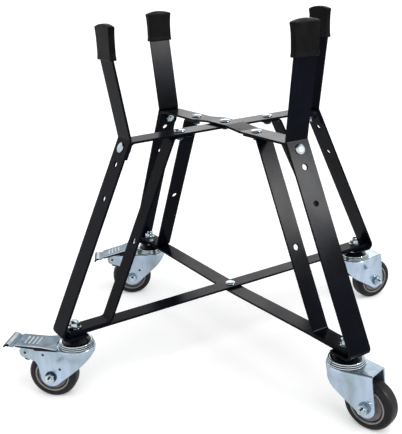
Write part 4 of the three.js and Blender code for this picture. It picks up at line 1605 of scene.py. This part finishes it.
@dataclass
class Wheels:
    """The wheels: tyre, pale beads and core, modelled on the Z axis and laid on their sides."""

    site: Site
    plan: CasterPlan = CasterPlan()
    half: float = 12.2
    shoulder: float = 7.0
    shoulder_steps: int = 6
    crown: float = 0.05  # how far the tread stands out in its middle
    hub_half: float = 14.0
    sides: int = 72

    def tyre(self) -> bpy.types.Object:
        """Models the tyre, with a round shoulder.

        Returns:
            The tyre.
        """
        radius = self.plan.wheel_radius
        arc = []
        for i in range(self.shoulder_steps + 1):
            angle = math.pi / 2 * (1 - i / self.shoulder_steps)
            x = radius - self.shoulder + self.shoulder * math.cos(angle)
            arc.append((x, self.half - self.shoulder + self.shoulder * math.sin(angle)))
        seat = [(22.8, 9.0), (26.2, 9.2), (26.7, 11.5), (27.3, self.half - 0.1)]
        half = [*seat, *arc, (radius + self.crown, 2.6)]
        return finished(turn("tyre", both_ways(half), self.sides, hollow=True), angle=40)

    def bead(self) -> bpy.types.Object:
        """Models the pale ring on each side of the tyre.

        Returns:
            Both rings.
        """
        half = [(24.4, 9.4), (24.5, 12.0), (24.9, 12.5), (26.1, 12.6), (26.7, 12.2), (26.8, 10.8)]
        one = finished(turn("bead", half, self.sides, hollow=True), angle=45)
        return united("bead", one, copied(one, OVER))

    def core(self) -> bpy.types.Object:
        """Models the core, dished between its rim and its hub.

        Returns:
            The core.
        """
        half = [
            (4.4, self.hub_half),
            (8.3, self.hub_half),
            (9.0, self.hub_half - 0.6),
            (9.4, 10.2),
            (11.0, 9.5),
            (19.0, 10.0),
            (20.6, 10.9),
            (21.6, 11.3),
            (22.3, 10.9),
            (22.4, 8.8),
        ]
        return finished(turn("core", both_ways(half), self.sides, hollow=True), angle=40)

    def build(self) -> None:
        """Models the wheel's pieces and sets out four wheels."""
        masters = {
            "tyre": (self.tyre(), "charcoal_tyre_rubber"),
            "wheel_bead": (self.bead(), "grey_polypropylene"),
            "wheel_core": (self.core(), "polished_brown_polypropylene"),
        }
        for corner in self.site.corners:
            place = corner.caster @ self.plan.on_axle
            for name, (master, finish) in masters.items():
                self.site.set_out(master, f"{name}_{corner.name}", place, f"wheel_{corner.name}", finish)
        clear_away(*(master for master, _ in masters.values()))


@dataclass
class Axles:
    """The axle bolts, with washers, head and nut."""

    site: Site
    plan: CasterPlan = CasterPlan()
    radius: float = 4.0
    seat: float = 17.3  # of the washers, from the caster's middle
    washer: float = 1.4
    washer_radius: float = 9.0
    flats: float = 13.0
    hexagon: float = 6.5
    tail: float = 6.0
    # Corners whose washers get dark steel as painted shade; the others get dull zinc, also painted shade.
    shaded_washers: tuple[str, ...] = ("front_left",)

    def washers(self) -> bpy.types.Object:
        """Models the two washers on the Z axis.

        Returns:
            Both washers.
        """
        low, high = self.seat, self.seat + self.washer
        rim, face = self.washer_radius, self.washer_radius - 0.4
        ring = [(face, low), (rim, low + 0.3), (rim, high - 0.35), (face, high - 0.05)]
        one = finished(turn("washer", ring, 40))
        return united("washers", one, copied(one, OVER))

    def bolt(self) -> bpy.types.Object:
        """Models the bolt on the Z axis, with its nut at the upper end.

        Returns:
            The bolt.
        """
        hex_seat = self.seat + self.washer
        end = hex_seat + self.hexagon
        stations = [(self.radius, 0.5 - end), *thread(self.radius, end - 1.2, end + self.tail)]
        parts = [finished(turn("axle", stations, 28))]
        for side in (rotation(0, "X"), OVER):
            hexagon = finished(hex_blank("hexagon", self.flats, self.hexagon), 0.25)
            parts.append(moved(hexagon, side @ at(0, hex_seat)))
        return united("axle", *parts)

    def build(self) -> None:
        """Models the bolt and its washers and sets out four."""
        bolt, washers = self.bolt(), self.washers()
        for corner in self.site.corners:
            turned = rotation(0 if corner.nut_side > 0 else 180, "Z")
            place = corner.caster @ at(*self.plan.axle) @ turned @ ON_ITS_SIDE
            node = f"axle_{corner.name}"
            self.site.set_out(bolt, f"zinc_{node}", place, node, "blue_zinc_plate")
            # Both washer finishes are painted shade.
            finish = "black_oxide_steel" if corner.name in self.shaded_washers else "zinc_on_stamped_pedal"
            self.site.set_out(washers, f"axle_washers_{corner.name}", place, node, finish)
        clear_away(bolt, washers)


@dataclass
class Brakes:
    """The foot brakes: a stamped pedal with ribs and a rolled lip, with painted highlights on its edges
    and painted shade under them, its shoe and its pin.
    """

    site: Site
    plan: CasterPlan = CasterPlan()
    sheet: float = 1.6
    travel: float = 16.0  # degrees from released to pressed
    hub_half: float = 12.5
    hub_radius: float = 5.6
    bore: float = 2.8  # radius of the hub's and the shoe's bore
    shoe_half: float = 11.0
    shoe_reach: float = 16.3
    shoe_corner: float = 4.0
    shoe_sweep: float = 52.0  # degrees of the shoe's working face
    back_start: float = 142.0  # degrees from the face's start to the round back
    back_sweep: float = 196.0
    back_points: int = 10
    ribs: tuple[float, ...] = (59.2, 65.7, 72.2, 78.7)
    # Half of a rib, as (radius, distance from its middle).
    rib_end: tuple[Pair, ...] = ((1.35, 11.2), (1.0, 12.0), (0.35, 12.4))
    rib_sink: float = 0.25
    # The flat, from its end towards the head, and how it rises from there and widens past it.
    flat_end: float = 50.0
    flat_height: float = 88.1
    flat_half: float = 19.0
    flat_rise: float = 2.0
    flat_run: float = 40.5
    flat_flare: float = 0.22
    # Reach, height of the top face and half width, from the fork to the tip.
    stations: tuple[tuple[float, float, float], ...] = (
        (22.5, 88.1, 25.05),
        (50.0, 88.1, 19.0),
        (90.0, 90.1, 19.0),
        (92.0, 89.6, 19.2),
        (94.2, 88.2, 19.8),
        (96.4, 87.9, 20.6),
        (98.6, 88.9, 21.4),
        (100.4, 90.0, 21.9),
    )
    head_room: float = 30.2  # radius of the hollow end, round the swivel head
    lip_half: float = 22.0
    # The outline of the rolled lip at the tip.
    lip: tuple[Pair, ...] = (
        (99.6, 89.7),
        (101.2, 90.6),
        (103.4, 91.4),
        (105.6, 91.4),
        (107.8, 90.7),
        (109.6, 89.2),
        (110.6, 87.4),
        (110.2, 86.0),
        (108.8, 85.9),
        (107.4, 87.4),
        (105.4, 88.4),
        (103.2, 88.5),
        (100.2, 87.8),
    )
    # The bent-down edge along each side, in painted shade, and the roll on it, a strip of bright zinc
    # that is a painted highlight.
    cheek: tuple[Pair, ...] = (
        (24.0, 87.2),
        (50.0, 87.2),
        (92.0, 89.0),
        (91.5, 86.7),
        (86.0, 85.8),
        (63.0, 84.0),
        (60.0, 81.8),
        (50.0, 81.8),
        (24.0, 84.6),
    )
    roll: tuple[Pair, ...] = (
        (24.0, 88.35),
        (50.0, 88.35),
        (91.0, 90.35),
        (91.0, 89.3),
        (50.0, 87.3),
        (24.0, 87.3),
    )
    # The lower half of the pin, as (radius, height).
    pin_half: tuple[Pair, ...] = (
        (2.3, -17.6),
        (2.5, -18.05),
        (3.6, -18.0),
        (4.0, -17.7),
        (4.0, -17.4),
        (2.5, -17.3),
    )

    def side_at(self, reach: float) -> float:
        """The half width of the pedal over the flat, which widens towards the head."""
        return self.flat_half + self.flat_flare * max(0.0, self.flat_end - reach)

    def top_at(self, reach: float) -> float:
        """The height of the pedal's top face over the flat."""
        return self.flat_height + self.flat_rise * (reach - self.flat_end) / self.flat_run

    def pedal(self) -> bpy.types.Object:
        """Models the stamped pedal with the lug and the hub that carry it.

        Returns:
            The pedal, released, in the caster's frame.
        """
        reach, top, wide = self.stations[0]
        pedal = start("pedal", bpy.ops.mesh.primitive_plane_add, size=2)
        place_vertices(pedal, lambda v: (reach, wide * v.y, top - self.sheet * (1 + v.x) / 2))
        for next_reach, next_top, next_wide in self.stations[1:]:
            extrude_to((next_reach - reach, 0, next_top - top))
            wider = (1, next_wide / wide, 1)
            bpy.ops.transform.resize(value=wider, center_override=(next_reach, 0, next_top))
            reach, top, wide = next_reach, next_top, next_wide
        carve(pedal, cutter(self.head_room, 70, 110, 96))
        x, z = self.plan.pin
        foot = z + self.bore + 0.4
        inner, outer = x - self.hub_radius, x + self.hub_radius
        under = [(reach, self.top_at(reach) - self.sheet / 2) for reach in (inner, outer)]
        lug = plate("lug", [(inner, foot), *under, (outer, foot)], 2 * self.shoe_half)
        parts = [finished(pedal, 0.45, angle=50), finished(lug, 0.4)]
        hub = both_ways([(self.bore, -self.hub_half), (self.hub_radius, -self.hub_half)])
        tube = finished(turn("hub", hub, 36, hollow=True), 0.3)
        return united("pedal", *parts, moved(tube, self.plan.on_pin))

    def folds(self) -> bpy.types.Object:
        """Models the undersides of the pedal's bent edges, two cheeks and the rolled lip at its tip, in a
        dark finish that is painted shade.

        Returns:
            The folds.
        """
        middle = sum((Vector(corner) for corner in self.lip), Vector((0, 0))) / len(self.lip)
        small = [tuple(middle + (Vector(corner) - middle) * 0.55) for corner in self.lip]
        lip = plate("lip", small, 0, -self.lip_half)
        # Steps across, with how far each swells or shrinks, so that the lip's ends are round.
        swell = ((0.5, 1.45), (1.0, 1.2), (2 * self.lip_half - 3, 1.0), (1.0, 1 / 1.2), (0.5, 1 / 1.45))
        for across, share in swell:
            extrude_to((0, across, 0))
            bpy.ops.transform.resize(value=(share, 1, share), center_override=(middle.x, 0, middle.y))
        parts = [finished(lip, 0.5, 3, 50)]
        parts += self.along_sides("cheek", self.cheek)
        return united("folds", *parts)

    def along_sides(self, name: str, outline: Profile) -> list[bpy.types.Object]:
        """Models a thin strip along each side of the pedal.

        Args:
            name: The strips' name.
            outline: A strip's corners in the side view.

        Returns:
            Both strips.
        """
        width = 1.0
        strips = []
        for side in (-1, 1):
            strip = plate(name, outline, width)
            bpy.ops.mesh.select_all(action="SELECT")
            place_vertices(strip, lambda v: (v.x, v.y + side * (self.side_at(v.x) - width / 2), v.z))
            strips.append(finished(strip, 0.3))
        return strips

    def rims(self) -> bpy.types.Object:
        """Models strips of bright zinc on the upper face of the lip and along the pedal's two sides:
        painted highlights on the rolled edges.

        Returns:
            The rims.
        """
        face = [(99.6, 89.9), (101.2, 90.9), (103.4, 91.7), (104.8, 91.7), (104.8, 90.6), (100.6, 89.0)]
        lip_face = finished(plate("lip face", face, 2 * self.lip_half - 5), 0.4)
        return united("rims", lip_face, *self.along_sides("roll", self.roll))

    def raised_ribs(self) -> bpy.types.Object:
        """Models the raised ribs across the pedal.

        Returns:
            The ribs.
        """
        profile = both_ways([(radius, -height) for radius, height in reversed(self.rib_end)])
        rib = finished(turn("rib", profile, 16), angle=60)
        places = [at(reach, self.top_at(reach) - self.rib_sink) @ ON_ITS_SIDE for reach in self.ribs]
        ribs = [copied(rib, place) for place in places]
        clear_away(rib)
        return united("ribs", *ribs)

    def shoe(self) -> bpy.types.Object:
        """Models the shoe: a cam round the pin that swings over the tyre.

        Returns:
            The shoe, released.
        """
        pin, axle = Vector(self.plan.pin), Vector(self.plan.axle)
        to_axle, corner = axle - pin, self.shoe_corner
        toward = math.degrees(math.atan2(to_axle.y, to_axle.x)) % 360 + self.travel
        inset = math.degrees(math.asin(corner / (self.shoe_reach - corner)))
        # The round back, opposite to the working face, and then the face's two rounded corners.
        back = [self.back_sweep * i / self.back_points for i in range(self.back_points)]
        outline = [self.hub_radius * direction(toward + self.back_start + angle) for angle in back]
        ends = {toward + inset: range(-90, 1, 18), toward + self.shoe_sweep - inset: range(0, 91, 18)}
        for angle, turns in ends.items():
            centre = direction(angle) * (self.shoe_reach - corner)
            outline += [centre + direction(angle + turned) * corner for turned in turns]
        shoe = plate("shoe", [tuple(pin + point) for point in outline], 2 * self.shoe_half)
        bore = cutter(self.bore, -self.shoe_half - 1, self.shoe_half + 1)
        carve(shoe, moved(bore, self.plan.on_pin))
        return finished(shoe, 0.8, 3, 50)

    def pin(self) -> bpy.types.Object:
        """Models the pin, spread into a flat rim at each end.

        Returns:
            The pin.
        """
        pin = finished(turn("pin", both_ways(self.pin_half), 24), angle=50)
        return moved(pin, self.plan.on_pin)

    def peened_ends(self) -> bpy.types.Object:
        """Models the hollows that the punch leaves in the pin's ends, in a dark finish that is painted
        shade.

        Returns:
            Both hollows.
        """
        one = finished(turn("peened end", [(2.5, 17.6), (2.45, 17.95), (1.9, 17.85), (0.6, 17.75)], 20))
        return moved(united("peened ends", one, copied(one, OVER)), self.plan.on_pin)

    def build(self) -> None:
        """Models the brake once and sets out two, one of them pressed."""
        masters = {
            "brake_plate": (self.pedal(), "zinc_on_stamped_pedal"),
            # The dark finish on the folds is painted shade; the bright strips are painted highlights.
            "brake_folds": (self.folds(), "pooled_chromate"),
            "brake_rims": (self.rims(), "blue_zinc_plate"),
            "brake_ribs": (self.raised_ribs(), "blue_zinc_plate"),
            "brake_cam": (self.shoe(), "black_nylon_shoe"),
        }
        pin, ends = self.pin(), self.peened_ends()
        pivot = at(*self.plan.pin)
        for corner in self.site.corners:
            if corner.kind is CasterKind.PLAIN:
                continue
            swing = pivot @ rotation(self.travel if corner.pressed else 0, "Y") @ pivot.inverted()
            node = f"brake_pedal_{corner.name}"
            for name, (master, finish) in masters.items():
                self.site.set_out(master, f"{name}_{corner.name}", corner.caster @ swing, node, finish)
            node = f"pedal_pin_{corner.name}"
            self.site.set_out(pin, f"zinc_{node}", corner.caster, node, "blue_zinc_plate")
            # The dark finish of the pin's ends is painted shade in their hollows.
            self.site.set_out(ends, f"pin_ends_{corner.name}", corner.caster, node, "black_oxide_steel")
        clear_away(pin, ends, *(master for master, _ in masters.values()))


# ------------------------------------------------------------------ the studio


@dataclass(frozen=True)
class Softbox:
    """A rectangular lamp that is aimed at the stand and that only its gloss shows, in millimetres."""

    name: str
    place: tuple[float, float, float]
    size: tuple[float, float]
    watts: float

    def build(self) -> None:
        """Sets up the lamp."""
        data = bpy.data.lights.new(self.name, "AREA")
        data.shape = "RECTANGLE"
        data.size, data.size_y = (side * MM for side in self.size)
        data.energy = self.watts
        lamp = bpy.data.objects.new(self.name, data)
        lamp.location = Vector(self.place) * MM
        aim = Vector((0, 0, AIM_HEIGHT)) * MM
        lamp.rotation_euler = (aim - lamp.location).to_track_quat("-Z", "Y").to_euler()
        lamp.visible_diffuse = False
        lamp.visible_camera = False
        bpy.context.scene.collection.objects.link(lamp)


@dataclass
class Studio:
    """The floor, the light and the camera."""

    site: Site
    focal: float = 751.2  # pixels
    picture: tuple[int, int] = (402, 434)
    camera_place: tuple[float, float, float] = (226.5, -1149.1, 618.1)  # from the stand's middle, mm
    heading: float = 13.322  # degrees, as the next two are
    pitch: float = -18.327
    roll: float = 2.625
    fill: float = 0.66  # the surround's strength as light
    key: float = 1.2
    key_size: float = 50.0  # degrees across
    key_turn: Pair = (28.0, 26.0)  # degrees about X and Y, from straight down
    ceiling: str = "#303338"
    ceiling_edge: Pair = (0.58, 0.78)  # the sine of the height where the ceiling starts and is full
    floor_lift: float = 0.3  # keeps the floor white around the shadow, as the photograph's is
    softboxes: tuple[Softbox, ...] = (
        Softbox("side", (1280.0, -230.0, 830.0), (260.0, 260.0), 9.0),
        Softbox("back", (-100.0, 1720.0, 860.0), (800.0, 240.0), 1.7),
    )

    def build(self) -> None:
        """Sets up all three."""
        self.floor()
        self.light()
        self.camera()

    def floor(self) -> None:
        """Lays a pale floor that keeps the object's shadow."""
        floor = start("floor", bpy.ops.mesh.primitive_plane_add, size=120)
        to_object_mode()
        material = bpy.data.materials.new("studio_floor")
        material.use_nodes = True
        tree = material.node_tree
        tree.nodes.clear()
        place = add_node(tree, "ShaderNodeTexCoord").outputs["Object"]
        mottle = add_node(tree, "ShaderNodeTexNoise", {"Scale": 3.0}, {"Vector": place})
        colour = add_node(
            tree,
            "ShaderNodeMixRGB",
            {"Color1": linear("#fbfbfb"), "Color2": linear("#fdfdfd")},
            {"Fac": mottle.outputs["Fac"]},
        )
        lit = add_node(tree, "ShaderNodeBsdfDiffuse", links={"Color": colour.outputs["Color"]})
        seen = add_node(tree, "ShaderNodeLightPath").outputs["Is Camera Ray"]
        lift = add_node(tree, "ShaderNodeMath", {"operation": "MULTIPLY", 1: self.floor_lift}, {0: seen})
        glow = add_node(tree, "ShaderNodeEmission", links={"Strength": lift.outputs["Value"]})
        shaders = {0: lit.outputs["BSDF"], 1: glow.outputs["Emission"]}
        both = add_node(tree, "ShaderNodeAddShader", links=shaders)
        add_node(tree, "ShaderNodeOutputMaterial", links={"Surface": both.outputs["Shader"]})
        floor.data.materials.append(material)

    def light(self) -> None:
        """Lights the stand by a white surround, a key light and two softboxes.

        The key light is broad and soft, and comes from above, on the right and in front. For gloss alone,
        the surround darkens overhead, so that steel and zinc have something dark to mirror.
        """
        world = bpy.data.worlds.new("studio")
        bpy.context.scene.world = world
        world.use_nodes = True
        tree = world.node_tree
        tree.nodes.clear()
        rays = add_node(tree, "ShaderNodeLightPath").outputs
        seen = add_node(
            tree,
            "ShaderNodeMath",
            {"operation": "MAXIMUM"},
            {0: rays["Is Camera Ray"], 1: rays["Is Glossy Ray"]},
        )
        seen = add_node(
            tree,
            "ShaderNodeMath",
            {"operation": "MAXIMUM"},
            {0: seen.outputs["Value"], 1: rays["Is Transmission Ray"]},
        )
        strength = add_node(
            tree,
            "ShaderNodeMapRange",
            {"To Min": self.fill, "To Max": 1.0},
            {"Value": seen.outputs["Value"]},
        )
        way = add_node(tree, "ShaderNodeTexCoord").outputs["Generated"]
        height = add_node(tree, "ShaderNodeSeparateXYZ", links={"Vector": way}).outputs["Z"]
        low, high = self.ceiling_edge
        ceiling = add_node(
            tree, "ShaderNodeMapRange", {"From Min": low, "From Max": high}, {"Value": height}
        )
        mirrored = add_node(
            tree,
            "ShaderNodeMath",
            {"operation": "MULTIPLY"},
            {0: ceiling.outputs["Result"], 1: rays["Is Glossy Ray"]},
        )
        colour = add_node(
            tree,
            "ShaderNodeMixRGB",
            {"Color1": linear("#ffffff"), "Color2": linear(self.ceiling)},
            {"Fac": mirrored.outputs["Value"]},
        )
        surround = add_node(
            tree,
            "ShaderNodeBackground",
            links={"Color": colour.outputs["Color"], "Strength": strength.outputs["Result"]},
        )
        add_node(tree, "ShaderNodeOutputWorld", links={"Surface": surround.outputs["Background"]})
        key = bpy.data.lights.new("key", "SUN")
        key.energy = self.key
        key.angle = math.radians(self.key_size)
        lamp = bpy.data.objects.new("key", key)
        lamp.rotation_euler = (*map(math.radians, self.key_turn), 0)
        lamp.visible_glossy = False
        bpy.context.scene.collection.objects.link(lamp)
        for softbox in self.softboxes:
            softbox.build()

    def camera(self) -> None:
        """Sets a camera where the photograph was taken from."""
        data = bpy.data.cameras.new("camera")
        data.sensor_width = 36
        data.lens = self.focal / max(self.picture) * data.sensor_width
        camera = bpy.data.objects.new("camera", data)
        turned = rotation(self.heading, "Z") @ rotation(self.pitch, "X") @ rotation(self.roll, "Y")
        place = self.site.middle @ Vector(self.camera_place)
        level = rotation(90, "X")  # from looking down to looking along +Y
        camera.matrix_world = Matrix.Translation(place * MM) @ turned @ level
        bpy.context.scene.collection.objects.link(camera)
        bpy.context.scene.camera = camera


def set_view() -> None:
    """Sets the plain view transform."""
    bpy.context.scene.view_settings.view_transform = "Standard"


def main(frame: dict[str, Any]) -> None:
    """Builds the stand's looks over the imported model.
    """
    logging.basicConfig(level=logging.INFO, format="%(name)s %(message)s")
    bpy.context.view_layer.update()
    site = Site(frame, Finishes())
    steel = FlatSteel(site)
    for part in (
        steel,
        EndCaps(site, steel),
        Fasteners(site, steel),
        SwivelHead(site),
        Forks(site),
        Wheels(site),
        Axles(site),
        Brakes(site),
        Studio(site),
    ):
        part.build()
        LOG.info("%s done", type(part).__name__)
    set_view()


if __name__ == "__main__":
    main(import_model())
